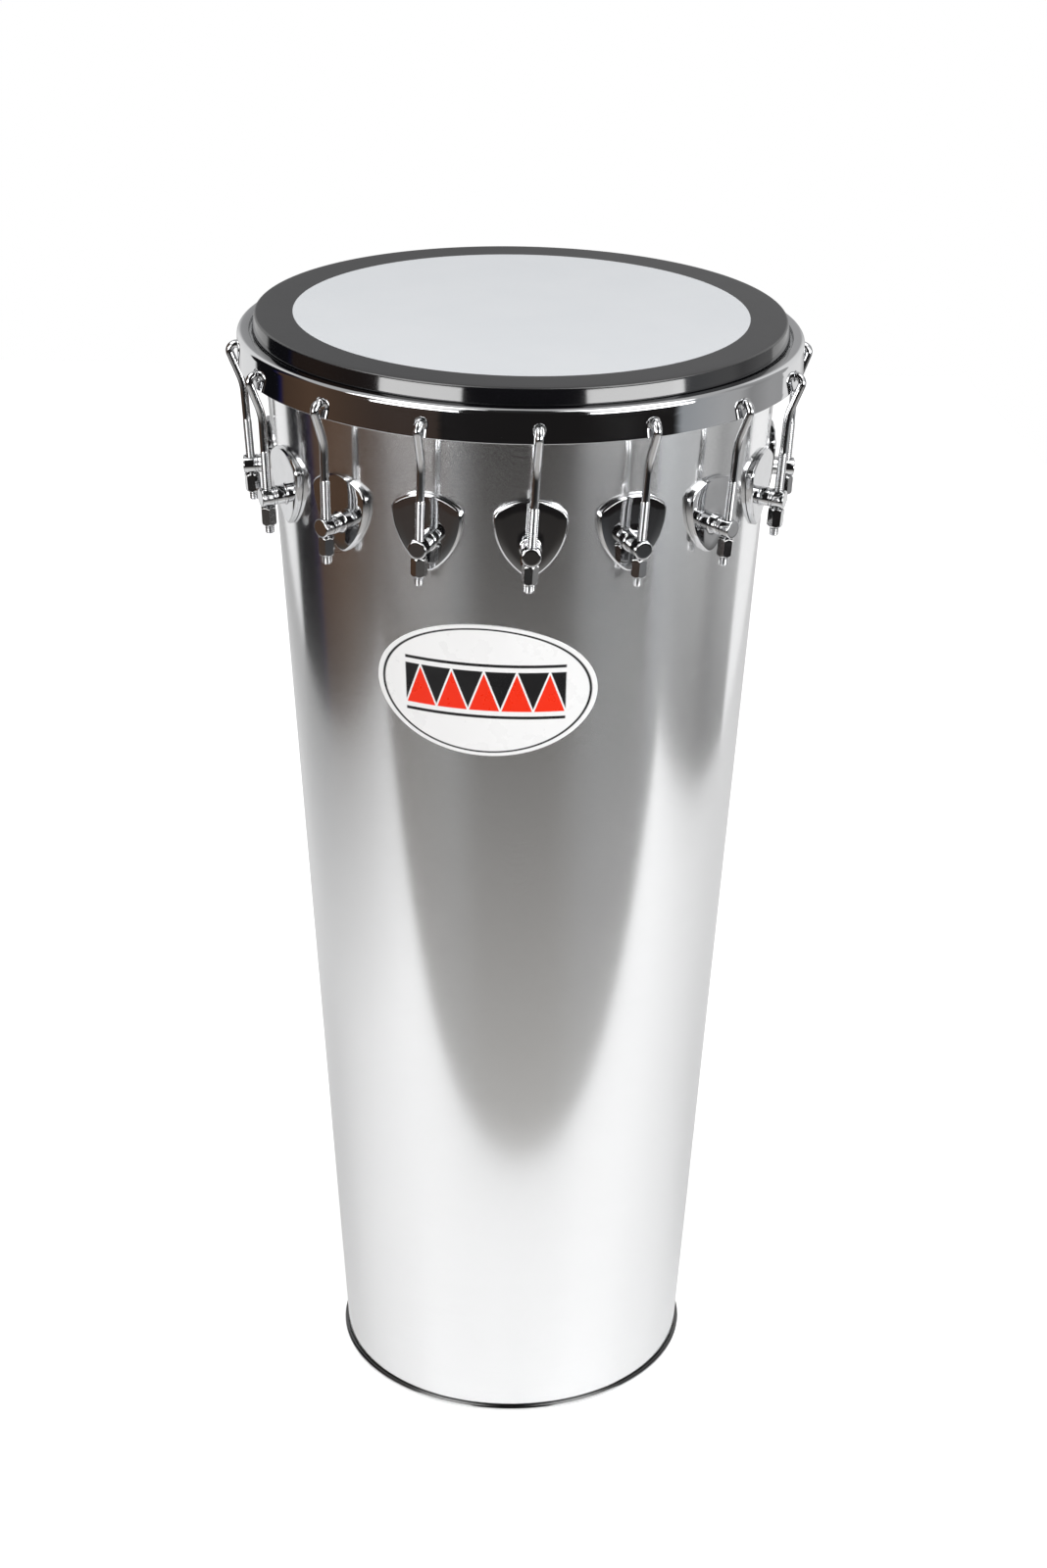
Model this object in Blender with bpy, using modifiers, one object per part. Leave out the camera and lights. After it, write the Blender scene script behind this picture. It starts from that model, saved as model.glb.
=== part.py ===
"""A timbal: a long conical aluminium drum with a plastic head, held by a tension hoop and sixteen hook rods.

The drum stands on the floor at z = 0 with its axis on Z, and its badge faces -Y. Metres throughout.
"""

import math

import bmesh
import bpy
from mathutils import Matrix, Vector

# Overall sizes: the wall's outer radius is given at the floor and at the head
HEIGHT = 0.800
FOOT_RADIUS = 0.1259
EDGE_RADIUS = 0.1745
SHEET = 0.0012

# Clearances
GAP = 0.0003
ROD_CLEARANCE = 0.00012

# Radii of the rolls at the two ends of the shell
FOOT_ROLL = 0.0021
EDGE_ROLL = 0.0027

# Head
FILM = 0.0003
COLLAR_GAP = 0.0005
COLLAR_SHOWN = 0.0108
COLLAR_FLARE = math.radians(10.0)
SHOULDER = 0.0020
BORDER_WIDTH = 0.0258
HEM_WIDTH = 0.0045

# Flesh hoop
FLESH_WIDTH = 0.0050
FLESH_HEIGHT = 0.0058

# Tension hoop
FLANGE_THICKNESS = 0.0020
FLANGE_GAP = 0.0018
BAND_THICKNESS = 0.0018
BAND_GAP = 0.0027
BAND_SHOULDER = 0.0034
BAND_BELOW_HOLE = 0.0058

# Lugs
LUG_COUNT = 16
FACETS_PER_LUG = 3
LUG_TURN = math.radians(2.2)
HOOP_TURN = math.radians(1.2)
LUG_BELOW_HOOK = 0.0840
PLATE_THICKNESS = 0.0032
PLATE_CORNER_RADIUS = 0.0075
PLATE_CORNER_ACROSS = 0.0165
PLATE_CORNER_UP = 0.0187
PLATE_TIP_DOWN = 0.0134
PLATE_TOP_BULGE = 0.0054
PLATE_SIDE_BULGE = 0.0042
POST_WALL = 0.0026
POST_END_WALL = 0.0014
SCREW_RADIUS = 0.0030
WASHER_RADIUS = 0.0078
WASHER_THICKNESS = 0.0012
SCREW_HEAD_RADIUS = 0.0055
SCREW_HEAD_HEIGHT = 0.0032

# Hook rods, with a quarter-inch thread of twenty turns an inch
ROD_OFFSET = 0.0155
THREAD_RADIUS = 0.003175
THREAD_PITCH = 0.00127
THREAD_ABOVE_POST = 0.0325
SHANK_RADIUS = 0.00275
TAIL = 0.0065
HOOK_TIP_TO_COLLAR = 0.0030
HOOK_TIP_GAP = 0.00075
HOOK_ABOVE_HOLE = 0.0005
HOOK_HOLE_CLEARANCE = 0.00105
HOOK_BEND_RADIUS = 0.0046
JOG_DOWN = 0.0275
JOG_RADIUS = 0.0400

# Nuts
NUT_WALL = 0.00107
NUT_LENGTH = 0.0125
NUT_CHAMFER = 0.0009
NUT_LOOSENING_TURNS = 4
FIRST_NUT_SPIN = math.radians(15.0)
NUT_SPIN_STEP = math.radians(23.0)

# Badge
BADGE_WIDTH = 0.1500
BADGE_HEIGHT = 0.0940
BADGE_THICKNESS = 0.0003
BADGE_BELOW_LUGS = 0.0563
BADGE_AZIMUTH = math.radians(-8.0)

# Facets of the round pieces
ROLL_SIDES = 8
WIRE_SIDES = 6
SHOULDER_STEPS = 2
BAND_SHOULDER_STEPS = 2
PLATE_ARC_STEPS = 3
POST_SIDES = 10
SCREW_HOLE_SIDES = 6
ROD_HOLE_SIDES = 8
HOOK_HOLE_SIDES = 8
HOOK_BEND_STEPS = 6
JOG_STEPS = 3
BADGE_STEPS = 32

# Finishes: colour, metallic, roughness
FINISHES = {
    "brushed_aluminium": ((0.72, 0.73, 0.74), 1.0, 0.22),
    "chrome": ((0.78, 0.79, 0.80), 1.0, 0.06),
    "steel_wire": ((0.45, 0.45, 0.46), 1.0, 0.35),
    "white_film": ((0.80, 0.80, 0.79), 0.0, 0.45),
    "black_border": ((0.03, 0.03, 0.03), 0.0, 0.25),
    "vinyl_badge": ((0.86, 0.86, 0.86), 0.0, 0.35),
}

FRONT = math.radians(-90.0)
LUG_PITCH = 2 * math.pi / LUG_COUNT
RING_STEPS = FACETS_PER_LUG * LUG_COUNT
RING_STEP = 2 * math.pi / RING_STEPS
RING_START = LUG_TURN + (RING_STEP / 2 if FACETS_PER_LUG % 2 else 0.0)
WALL_SLOPE = (EDGE_RADIUS - FOOT_RADIUS) / HEIGHT
STEEPNESS = math.atan(WALL_SLOPE)
LOOSENING_TRAVEL = NUT_LOOSENING_TURNS * THREAD_PITCH


def wall_radius(height):
    """Outer radius of the shell's wall at a height above the floor."""
    return FOOT_RADIUS + WALL_SLOPE * height


# Heights, from the head down to the badge
EDGE_ROLL_HEIGHT = HEIGHT - FILM - GAP - EDGE_ROLL
FLANGE_TOP = HEIGHT - COLLAR_SHOWN
FLANGE_BOTTOM = FLANGE_TOP - FLANGE_THICKNESS
FLESH_TOP = FLANGE_BOTTOM - GAP
FLESH_BOTTOM = FLESH_TOP - FLESH_HEIGHT
HEM_TOP = FLESH_BOTTOM - GAP
HEM_BOTTOM = HEM_TOP - FILM
HOOK_HEIGHT = HEM_BOTTOM - HOOK_TIP_GAP - SHANK_RADIUS
HOOK_HOLE_HEIGHT = HOOK_HEIGHT - HOOK_ABOVE_HOLE
HOOK_HOLE_RADIUS = SHANK_RADIUS + HOOK_HOLE_CLEARANCE
BAND_BOTTOM = HOOK_HOLE_HEIGHT - HOOK_HOLE_RADIUS - BAND_BELOW_HOLE
LUG_HEIGHT = HOOK_HEIGHT - LUG_BELOW_HOOK
BADGE_MIDDLE_HEIGHT = LUG_HEIGHT - BADGE_BELOW_LUGS - BADGE_HEIGHT / 2

# Radii, from the shell's rolled edge out to the tension hoop
FOOT_ROLL_RADIUS = wall_radius(FOOT_ROLL) - SHEET + FOOT_ROLL
EDGE_ROLL_RADIUS = wall_radius(EDGE_ROLL_HEIGHT) - SHEET + EDGE_ROLL
COLLAR_SPREAD = math.tan(COLLAR_FLARE)
COLLAR_RADIUS = (
    EDGE_ROLL_RADIUS + EDGE_ROLL + COLLAR_GAP + FILM + (EDGE_ROLL_HEIGHT - FLANGE_TOP) * COLLAR_SPREAD
)
RIM_RADIUS = COLLAR_RADIUS - (COLLAR_SHOWN - SHOULDER) * COLLAR_SPREAD
BORDER_RADIUS = RIM_RADIUS - BORDER_WIDTH
FLESH_INNER_RADIUS = COLLAR_RADIUS + GAP
FLANGE_INNER_RADIUS = COLLAR_RADIUS + FLANGE_GAP
BAND_INNER_RADIUS = FLESH_INNER_RADIUS + FLESH_WIDTH + BAND_GAP
BAND_OUTER_RADIUS = BAND_INNER_RADIUS + BAND_THICKNESS


def lug_azimuth(index):
    return FRONT + LUG_TURN + index * LUG_PITCH


def rod_crossing():
    """Where a rod's axis crosses its post's axis, for a lug at azimuth 0."""
    return Vector((
        wall_radius(LUG_HEIGHT) + ROD_OFFSET * math.cos(STEEPNESS),
        0.0,
        LUG_HEIGHT - ROD_OFFSET * math.sin(STEEPNESS),
    ))


def rod_lean():
    """Sideways lean of the rods, because the hoop sits turned a little against the lugs."""
    rise = (HOOK_HEIGHT - rod_crossing().z) / math.cos(STEEPNESS)
    return math.atan(BAND_OUTER_RADIUS * math.sin(HOOP_TURN) / rise)


def rod_hole_radius():
    """A rod moves straight up while its hole follows the wall, so the hole has room for the drift."""
    inward = LOOSENING_TRAVEL * math.sin(STEEPNESS)
    sideways = LOOSENING_TRAVEL * math.sin(rod_lean())
    return THREAD_RADIUS + math.hypot(inward, sideways) + ROD_CLEARANCE


def post_radius():
    return rod_hole_radius() + POST_WALL


def clear_scene():
    for obj in list(bpy.data.objects):
        bpy.data.objects.remove(obj)


def new_collection(name):
    collection = bpy.data.collections.new(name)
    bpy.context.scene.collection.children.link(collection)
    return collection


def new_object(name, data):
    obj = bpy.data.objects.new(name, data)
    bpy.context.scene.collection.objects.link(obj)
    return obj


def finish(name):
    """The Principled material of one finish, made once."""
    if name in bpy.data.materials:
        return bpy.data.materials[name]
    colour, metallic, roughness = FINISHES[name]
    material = bpy.data.materials.new(name)
    material.use_nodes = True
    shader = material.node_tree.nodes["Principled BSDF"]
    shader.inputs["Base Color"].default_value = (*colour, 1.0)
    shader.inputs["Metallic"].default_value = metallic
    shader.inputs["Roughness"].default_value = roughness
    return material


def move_to(obj, collection):
    for old in list(obj.users_collection):
        old.objects.unlink(obj)
    collection.objects.link(obj)
    return obj


def as_part(obj, name, *finish_names):
    obj.name = name
    for finish_name in finish_names:
        obj.data.materials.append(finish(finish_name))
    return move_to(obj, PARTS)


def as_cutter(obj, name):
    obj.name = name
    obj.hide_render = True
    obj.display_type = "WIRE"
    return move_to(obj, CUTTERS)


def smooth(mesh, sharp_angle=30.0):
    mesh.shade_smooth()
    mesh.set_sharp_from_angle(angle=math.radians(sharp_angle))


def add_boolean(obj, other, operation):
    modifier = obj.modifiers.new(other.name, "BOOLEAN")
    modifier.operation = operation
    modifier.object = other


def baked_mesh(obj):
    """The object's evaluated mesh as a plain mesh, with coincident points merged."""
    bpy.context.view_layer.update()
    graph = bpy.context.evaluated_depsgraph_get()
    mesh = bpy.data.meshes.new_from_object(obj.evaluated_get(graph))
    shape = bmesh.new()
    shape.from_mesh(mesh)
    bmesh.ops.remove_doubles(shape, verts=shape.verts, dist=1e-6)
    shape.to_mesh(mesh)
    shape.free()
    return mesh


def bake(obj):
    """Replace an object's modifiers by their result."""
    mesh = baked_mesh(obj)
    obj.modifiers.clear()
    obj.data = mesh
    smooth(mesh)


def arc(centre, radius, start, end, steps):
    """Points of an arc in the (radius, height) plane, from one angle in degrees to another."""
    angles = [math.radians(start + (end - start) * i / steps) for i in range(steps + 1)]
    return [(centre[0] + radius * math.cos(a), centre[1] + radius * math.sin(a)) for a in angles]


def turned(outline, steps, closed):
    """An object turned about Z from an outline of (radius, height) points that runs down its outer side."""
    mesh = bpy.data.meshes.new("outline")
    count = len(outline)
    edges = [(i, i + 1) for i in range(count - 1)]
    if closed:
        edges.append((count - 1, 0))
    mesh.from_pydata([(r, 0.0, z) for r, z in outline], edges, [])
    obj = new_object("turned", mesh)
    screw = obj.modifiers.new("turn", "SCREW")
    screw.axis = "Z"
    screw.steps = steps
    screw.render_steps = steps
    screw.use_merge_vertices = True
    screw.merge_threshold = 1e-5
    screw.use_smooth_shade = True
    return obj


def cylinders(radius, length, sides, frames):
    """One mesh object of equal cylinders along local Z, one in each frame."""
    shape = bmesh.new()
    for frame in frames:
        bmesh.ops.create_cone(
            shape,
            cap_ends=True,
            segments=sides,
            radius1=radius,
            radius2=radius,
            depth=length,
            matrix=frame,
        )
    mesh = bpy.data.meshes.new("cylinders")
    shape.to_mesh(mesh)
    shape.free()
    return new_object("cylinders", mesh)


def corner_radius(flat_radius, sides):
    """Corner radius of a polygon whose flats touch a circle."""
    return flat_radius / math.cos(math.pi / sides)


def outward_frame(azimuth, radius, height, tilt=0.0):
    """A frame on the drum's side whose Z points outward, tipped down by the tilt."""
    return (
        Matrix.Rotation(azimuth, 4, "Z")
        @ Matrix.Translation((radius, 0.0, height))
        @ Matrix.Rotation(math.pi / 2 + tilt, 4, "Y")
    )


def roll_points(centre, radius, start, turn):
    """Corners of a roll from its wall side round to a square end at the top or bottom of its circle."""
    step = 2 * math.pi / ROLL_SIDES
    corner = corner_radius(radius, ROLL_SIDES)
    angles = [start + turn * (i + 0.5) * step for i in range(ROLL_SIDES * 3 // 4)]
    points = [(centre[0] + corner * math.cos(a), centre[1] + corner * math.sin(a)) for a in angles]
    end = start + turn * 1.5 * math.pi
    points.append((centre[0] + radius * math.cos(end), centre[1] + radius * math.sin(end)))
    return points


def shell_outline():
    """The wall and its two outward rolls, one sheet thick."""
    foot = (FOOT_ROLL_RADIUS, FOOT_ROLL)
    edge = (EDGE_ROLL_RADIUS, EDGE_ROLL_HEIGHT)
    foot_outside = roll_points(foot, FOOT_ROLL, math.pi, 1)
    foot_inside = roll_points(foot, FOOT_ROLL - SHEET, math.pi, 1)
    edge_outside = roll_points(edge, EDGE_ROLL, math.pi, -1)
    edge_inside = roll_points(edge, EDGE_ROLL - SHEET, math.pi, -1)
    return edge_inside[::-1] + foot_inside + foot_outside[::-1] + edge_outside


def make_shell():
    shell = as_part(turned(shell_outline(), RING_STEPS, closed=True), "shell", "brushed_aluminium")
    shell.rotation_euler.z = RING_START
    frames = [
        outward_frame(lug_azimuth(i), wall_radius(LUG_HEIGHT), LUG_HEIGHT, STEEPNESS)
        for i in range(LUG_COUNT)
    ]
    radius = corner_radius(SCREW_RADIUS + GAP, SCREW_HOLE_SIDES)
    length = 4 * (SHEET + FOOT_ROLL)
    holes = as_cutter(cylinders(radius, length, SCREW_HOLE_SIDES, frames), "screw_holes")
    add_boolean(shell, holes, "DIFFERENCE")
    bake(shell)


def make_bead_wire():
    bpy.ops.mesh.primitive_torus_add(
        major_segments=RING_STEPS,
        minor_segments=WIRE_SIDES,
        major_radius=FOOT_ROLL_RADIUS,
        minor_radius=FOOT_ROLL - SHEET - GAP,
        location=(0.0, 0.0, FOOT_ROLL),
        rotation=(0.0, 0.0, RING_START),
    )
    wire = as_part(bpy.context.object, "bead_wire", "steel_wire")
    smooth(wire.data)


def make_drum_head(slide):
    """One film: a flat top, a rounded shoulder, a collar that flares down to the flange and a hem.

    Below the flange the collar runs straight down, and the hem turns out under the flesh hoop.
    """
    corner = (RIM_RADIUS - SHOULDER, HEIGHT - SHOULDER)
    hem_radius = FLESH_INNER_RADIUS + HEM_WIDTH
    outline = [(0.0, HEIGHT), (BORDER_RADIUS, HEIGHT)]
    outline += arc(corner, SHOULDER, 90, 0, SHOULDER_STEPS)
    outline += [(COLLAR_RADIUS, FLANGE_TOP), (COLLAR_RADIUS, HEM_TOP)]
    outline += [(hem_radius, HEM_TOP), (hem_radius, HEM_BOTTOM)]
    outline += [(COLLAR_RADIUS - FILM, HEM_BOTTOM), (COLLAR_RADIUS - FILM, FLANGE_TOP)]
    outline += arc(corner, SHOULDER - FILM, 0, 90, SHOULDER_STEPS)
    outline += [(0.0, HEIGHT - FILM)]
    head = as_part(turned(outline, RING_STEPS, closed=False), "drum_head", "white_film", "black_border")
    head.rotation_euler.z = RING_START
    bake(head)
    for face in head.data.polygons:
        if math.hypot(*face.center[:2]) > BORDER_RADIUS:
            face.material_index = 1
    head.parent = slide


def make_flesh_hoop(slide):
    outer = FLESH_INNER_RADIUS + FLESH_WIDTH
    outline = [
        (FLESH_INNER_RADIUS, FLESH_TOP),
        (outer, FLESH_TOP),
        (outer, FLESH_BOTTOM),
        (FLESH_INNER_RADIUS, FLESH_BOTTOM),
    ]
    ring = as_part(turned(outline, RING_STEPS, closed=True), "flesh_hoop", "brushed_aluminium")
    ring.rotation_euler.z = RING_START
    ring.parent = slide


def make_tension_hoop(slide):
    """A flat band with a rounded shoulder and an inward flange, drilled for the hooks."""
    corner = (BAND_OUTER_RADIUS - BAND_SHOULDER, FLANGE_TOP - BAND_SHOULDER)
    inner_round = max(BAND_SHOULDER - BAND_THICKNESS, GAP)
    outline = [(FLANGE_INNER_RADIUS, FLANGE_TOP)]
    outline += arc(corner, BAND_SHOULDER, 90, 0, BAND_SHOULDER_STEPS)
    outline += [(BAND_OUTER_RADIUS, BAND_BOTTOM), (BAND_INNER_RADIUS, BAND_BOTTOM)]
    outline += [(BAND_INNER_RADIUS, FLANGE_BOTTOM - inner_round)]
    outline += [(BAND_INNER_RADIUS - inner_round, FLANGE_BOTTOM)]
    outline += [(FLANGE_INNER_RADIUS, FLANGE_BOTTOM)]
    hoop = as_part(turned(outline, RING_STEPS, closed=True), "tension_hoop", "chrome")
    hoop.rotation_euler.z = RING_START + HOOP_TURN
    frames = [
        outward_frame(lug_azimuth(i) + HOOP_TURN, BAND_OUTER_RADIUS, HOOK_HOLE_HEIGHT)
        for i in range(LUG_COUNT)
    ]
    radius = corner_radius(HOOK_HOLE_RADIUS, HOOK_HOLE_SIDES)
    holes = as_cutter(cylinders(radius, 4 * BAND_THICKNESS, HOOK_HOLE_SIDES, frames), "hook_holes")
    add_boolean(hoop, holes, "DIFFERENCE")
    bake(hoop)
    hoop.parent = slide


def plate_arc(start, end, bulge):
    """An arc that bulges from the chord between two corner centres: centre, radius, first and last angle."""
    chord = end - start
    outward = Vector((chord.y, -chord.x)).normalized()
    radius = (chord.length_squared / 4 + bulge**2) / (2 * bulge)
    centre = (start + end) / 2 + outward * (bulge - radius)
    middle = math.atan2(outward.y, outward.x)
    spread = math.asin(chord.length / 2 / radius)
    return centre, radius, middle - spread, middle + spread


def plate_outline():
    """A rounded triangle, tip down, in the (across, up) plane.

    Three shallow arcs run one corner radius outside the arcs between the corner centres, and a point
    halfway round each corner joins them.
    """
    corners = [
        Vector((PLATE_CORNER_ACROSS, PLATE_CORNER_UP)),
        Vector((-PLATE_CORNER_ACROSS, PLATE_CORNER_UP)),
        Vector((0.0, -PLATE_TIP_DOWN)),
    ]
    bulges = [PLATE_TOP_BULGE, PLATE_SIDE_BULGE, PLATE_SIDE_BULGE]
    arcs = [plate_arc(corners[i], corners[(i + 1) % 3], bulges[i]) for i in range(3)]
    points = []
    for i, (centre, radius, first, last) in enumerate(arcs):
        reach = radius + PLATE_CORNER_RADIUS
        for step in range(PLATE_ARC_STEPS + 1):
            angle = first + (last - first) * step / PLATE_ARC_STEPS
            points.append((centre.x + reach * math.cos(angle), centre.y + reach * math.sin(angle)))
        corner = corners[(i + 1) % 3]
        turn = (arcs[(i + 1) % 3][2] - last) % (2 * math.pi)
        halfway = last + turn / 2
        points.append((
            corner.x + PLATE_CORNER_RADIUS * math.cos(halfway),
            corner.y + PLATE_CORNER_RADIUS * math.sin(halfway),
        ))
    return points


def flat_prism(outline, thickness):
    """A mesh object of a flat outline, extruded to both sides of the XY plane."""
    curve = bpy.data.curves.new("outline", "CURVE")
    curve.dimensions = "2D"
    curve.fill_mode = "BOTH"
    curve.extrude = thickness / 2
    spline = curve.splines.new("POLY")
    spline.points.add(len(outline) - 1)
    for point, (x, y) in zip(spline.points, outline):
        point.co = (x, y, 0.0, 1.0)
    spline.use_cyclic_u = True
    obj = new_object("outline", curve)
    mesh = baked_mesh(obj)
    bpy.data.objects.remove(obj)
    return new_object("prism", mesh)


def lug_frame():
    """The frame of a lug at azimuth 0: X along the wall's outward normal, Z up the wall."""
    place = Matrix.Translation((wall_radius(LUG_HEIGHT), 0.0, LUG_HEIGHT))
    return place @ Matrix.Rotation(STEEPNESS, 4, "Y")


def wall_cutter():
    """The wall with its clearance as a solid cone, in a lug's frame."""
    reach = 2 * (PLATE_CORNER_UP + PLATE_TOP_BULGE + PLATE_CORNER_RADIUS)
    low = LUG_HEIGHT - reach
    high = LUG_HEIGHT + reach
    outline = [(0.0, high), (wall_radius(high) + GAP, high), (wall_radius(low) + GAP, low), (0.0, low)]
    cone = turned(outline, RING_STEPS, closed=False)
    turn = Matrix.Rotation(RING_START - LUG_TURN, 4, "Z")
    cone.matrix_world = lug_frame().inverted() @ turn
    return as_cutter(cone, "wall")


def lug_mesh():
    """A lug in its own frame. The plate, the cross-drilled post and the fixing screw are one solid."""
    uncut = 3 * PLATE_THICKNESS
    plate = flat_prism(plate_outline(), uncut)
    middle = GAP + PLATE_THICKNESS - uncut / 2
    upright = Matrix(((0, 0, 1), (1, 0, 0), (0, 1, 0))).to_4x4()
    plate.data.transform(Matrix.Translation((middle, 0.0, 0.0)) @ upright)
    root = GAP + PLATE_THICKNESS / 2
    washer_face = -SHEET - GAP - WASHER_RADIUS**2 / (2 * wall_radius(LUG_HEIGHT))
    head_face = washer_face - WASHER_THICKNESS
    post_end = ROD_OFFSET + rod_hole_radius() + POST_END_WALL
    outline = [
        (0.0, post_end),
        (post_radius(), post_end),
        (post_radius(), root),
        (SCREW_RADIUS, root),
        (SCREW_RADIUS, washer_face),
        (WASHER_RADIUS, washer_face),
        (WASHER_RADIUS, head_face),
        (SCREW_HEAD_RADIUS, head_face),
        (SCREW_HEAD_RADIUS, head_face - SCREW_HEAD_HEIGHT),
        (0.0, head_face - SCREW_HEAD_HEIGHT),
    ]
    stem = as_cutter(turned(outline, POST_SIDES, closed=False), "post_and_screw")
    stem.rotation_euler = (0.0, math.pi / 2, 0.0)
    hole_frame = Matrix.Translation((ROD_OFFSET, 0, 0)) @ Matrix.Rotation(-rod_lean(), 4, "X")
    hole_radius = corner_radius(rod_hole_radius(), ROD_HOLE_SIDES)
    hole = as_cutter(cylinders(hole_radius, 4 * post_radius(), ROD_HOLE_SIDES, [hole_frame]), "rod_hole")
    add_boolean(plate, wall_cutter(), "DIFFERENCE")
    add_boolean(plate, stem, "UNION")
    add_boolean(plate, hole, "DIFFERENCE")
    mesh = baked_mesh(plate)
    bpy.data.objects.remove(plate)
    smooth(mesh)
    return mesh


def make_lugs():
    mesh = lug_mesh()
    mesh.materials.append(finish("chrome"))
    for i in range(LUG_COUNT):
        lug = bpy.data.objects.new(f"lug_{i + 1:02d}", mesh)
        lug.matrix_world = Matrix.Rotation(lug_azimuth(i), 4, "Z") @ lug_frame()
        PARTS.objects.link(lug)


def rounded_corner(before, corner, after, radius, steps):
    """Points of the arc that rounds a corner between two straight runs."""
    back = (before - corner).normalized()
    onward = (after - corner).normalized()
    half_turn = (math.pi - back.angle(onward)) / 2
    start = corner + back * radius * math.tan(half_turn)
    centre = corner + (back + onward).normalized() * radius / math.cos(half_turn)
    arm = start - centre
    side = 1 if arm.x * back.y - arm.y * back.x < 0 else -1
    angles = [side * 2 * half_turn * i / steps for i in range(steps + 1)]
    return [centre + Matrix.Rotation(a, 2) @ arm for a in angles]


def hook_route():
    """(point, radius) along a hook from its tip to its threaded end, counted from the rod's crossing point.

    The route is drawn in the (outward, up) plane, which then leans sideways with the rod. From its hole the
    hook bends down, passes the hoop's lower edge at the usual gap and jogs onto the rod's line.
    """
    crossing = rod_crossing()

    def on_rod(distance):
        along = distance * math.cos(rod_lean())
        return Vector((along * math.sin(STEEPNESS), along * math.cos(STEEPNESS)))

    def from_crossing(radius, height):
        return Vector((radius - crossing.x, height - crossing.z))

    tip = from_crossing(COLLAR_RADIUS + HOOK_TIP_TO_COLLAR, HOOK_HEIGHT)
    band_edge = from_crossing(BAND_OUTER_RADIUS * math.cos(RING_STEP / 2), BAND_BOTTOM)
    jog = on_rod((tip.y - JOG_DOWN) / math.cos(STEEPNESS))
    past_edge = band_edge - jog
    clear_edge = math.asin((SHANK_RADIUS + GAP) / past_edge.length)
    slant = math.tan(math.atan2(past_edge.x, past_edge.y) + clear_edge)
    corner = Vector((jog.x + slant * (tip.y - jog.y), tip.y))
    thread_top = on_rod(THREAD_ABOVE_POST)
    end = on_rod(-(post_radius() + GAP + NUT_LENGTH + TAIL))
    bends = rounded_corner(tip, corner, jog, HOOK_BEND_RADIUS, HOOK_BEND_STEPS)
    bends += rounded_corner(corner, jog, end, JOG_RADIUS, JOG_STEPS)
    taper = on_rod(abs(THREAD_RADIUS - SHANK_RADIUS))
    route = [(point, SHANK_RADIUS) for point in [tip, *bends, thread_top]]
    route += [(thread_top - taper, THREAD_RADIUS), (end, THREAD_RADIUS)]
    lean = math.tan(rod_lean()) / math.cos(STEEPNESS)
    return [(Vector((point.x, point.y * lean, point.y)), radius) for point, radius in route]


def hook_mesh():
    route = hook_route()
    curve = bpy.data.curves.new("hook", "CURVE")
    curve.dimensions = "3D"
    curve.bevel_depth = THREAD_RADIUS
    curve.bevel_resolution = 2
    curve.use_fill_caps = True
    spline = curve.splines.new("POLY")
    spline.points.add(len(route) - 1)
    for point, (position, radius) in zip(spline.points, route):
        point.co = (*position, 1.0)
        point.radius = radius / THREAD_RADIUS
    obj = new_object("hook", curve)
    mesh = baked_mesh(obj)
    bpy.data.objects.remove(obj)
    smooth(mesh, 50.0)
    return mesh


def make_hooks(slide):
    mesh = hook_mesh()
    mesh.materials.append(finish("chrome"))
    for i in range(LUG_COUNT):
        hook = bpy.data.objects.new(f"hook_{i + 1:02d}", mesh)
        turn = Matrix.Rotation(lug_azimuth(i), 4, "Z")
        hook.matrix_world = turn @ Matrix.Translation(rod_crossing())
        PARTS.objects.link(hook)
        hook.parent = slide


def nut_mesh():
    """A long hex nut about Z, chamfered at both ends, with room in its bore for the rod's drift."""
    bore = corner_radius(rod_hole_radius(), 6)
    corner = corner_radius(rod_hole_radius() + NUT_WALL, 6)
    half = NUT_LENGTH / 2
    outline = [
        (bore, half),
        (corner - NUT_CHAMFER, half),
        (corner, half - NUT_CHAMFER),
        (corner, NUT_CHAMFER - half),
        (corner - NUT_CHAMFER, -half),
        (bore, -half),
    ]
    obj = turned(outline, 6, closed=True)
    mesh = baked_mesh(obj)
    bpy.data.objects.remove(obj)
    return mesh


def make_nuts():
    """Each nut's origin and Z lie on its rod's axis, under the post."""
    mesh = nut_mesh()
    mesh.materials.append(finish("chrome"))
    below_post = post_radius() + GAP + NUT_LENGTH / 2
    for i in range(LUG_COUNT):
        nut = bpy.data.objects.new(f"nut_{i + 1:02d}", mesh)
        nut.matrix_world = (
            Matrix.Rotation(lug_azimuth(i), 4, "Z")
            @ Matrix.Translation(rod_crossing())
            @ Matrix.Rotation(STEEPNESS, 4, "Y")
            @ Matrix.Rotation(-rod_lean(), 4, "X")
            @ Matrix.Translation((0.0, 0.0, -below_post))
            @ Matrix.Rotation(FIRST_NUT_SPIN + i * NUT_SPIN_STEP, 4, "Z")
        )
        PARTS.objects.link(nut)


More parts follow.
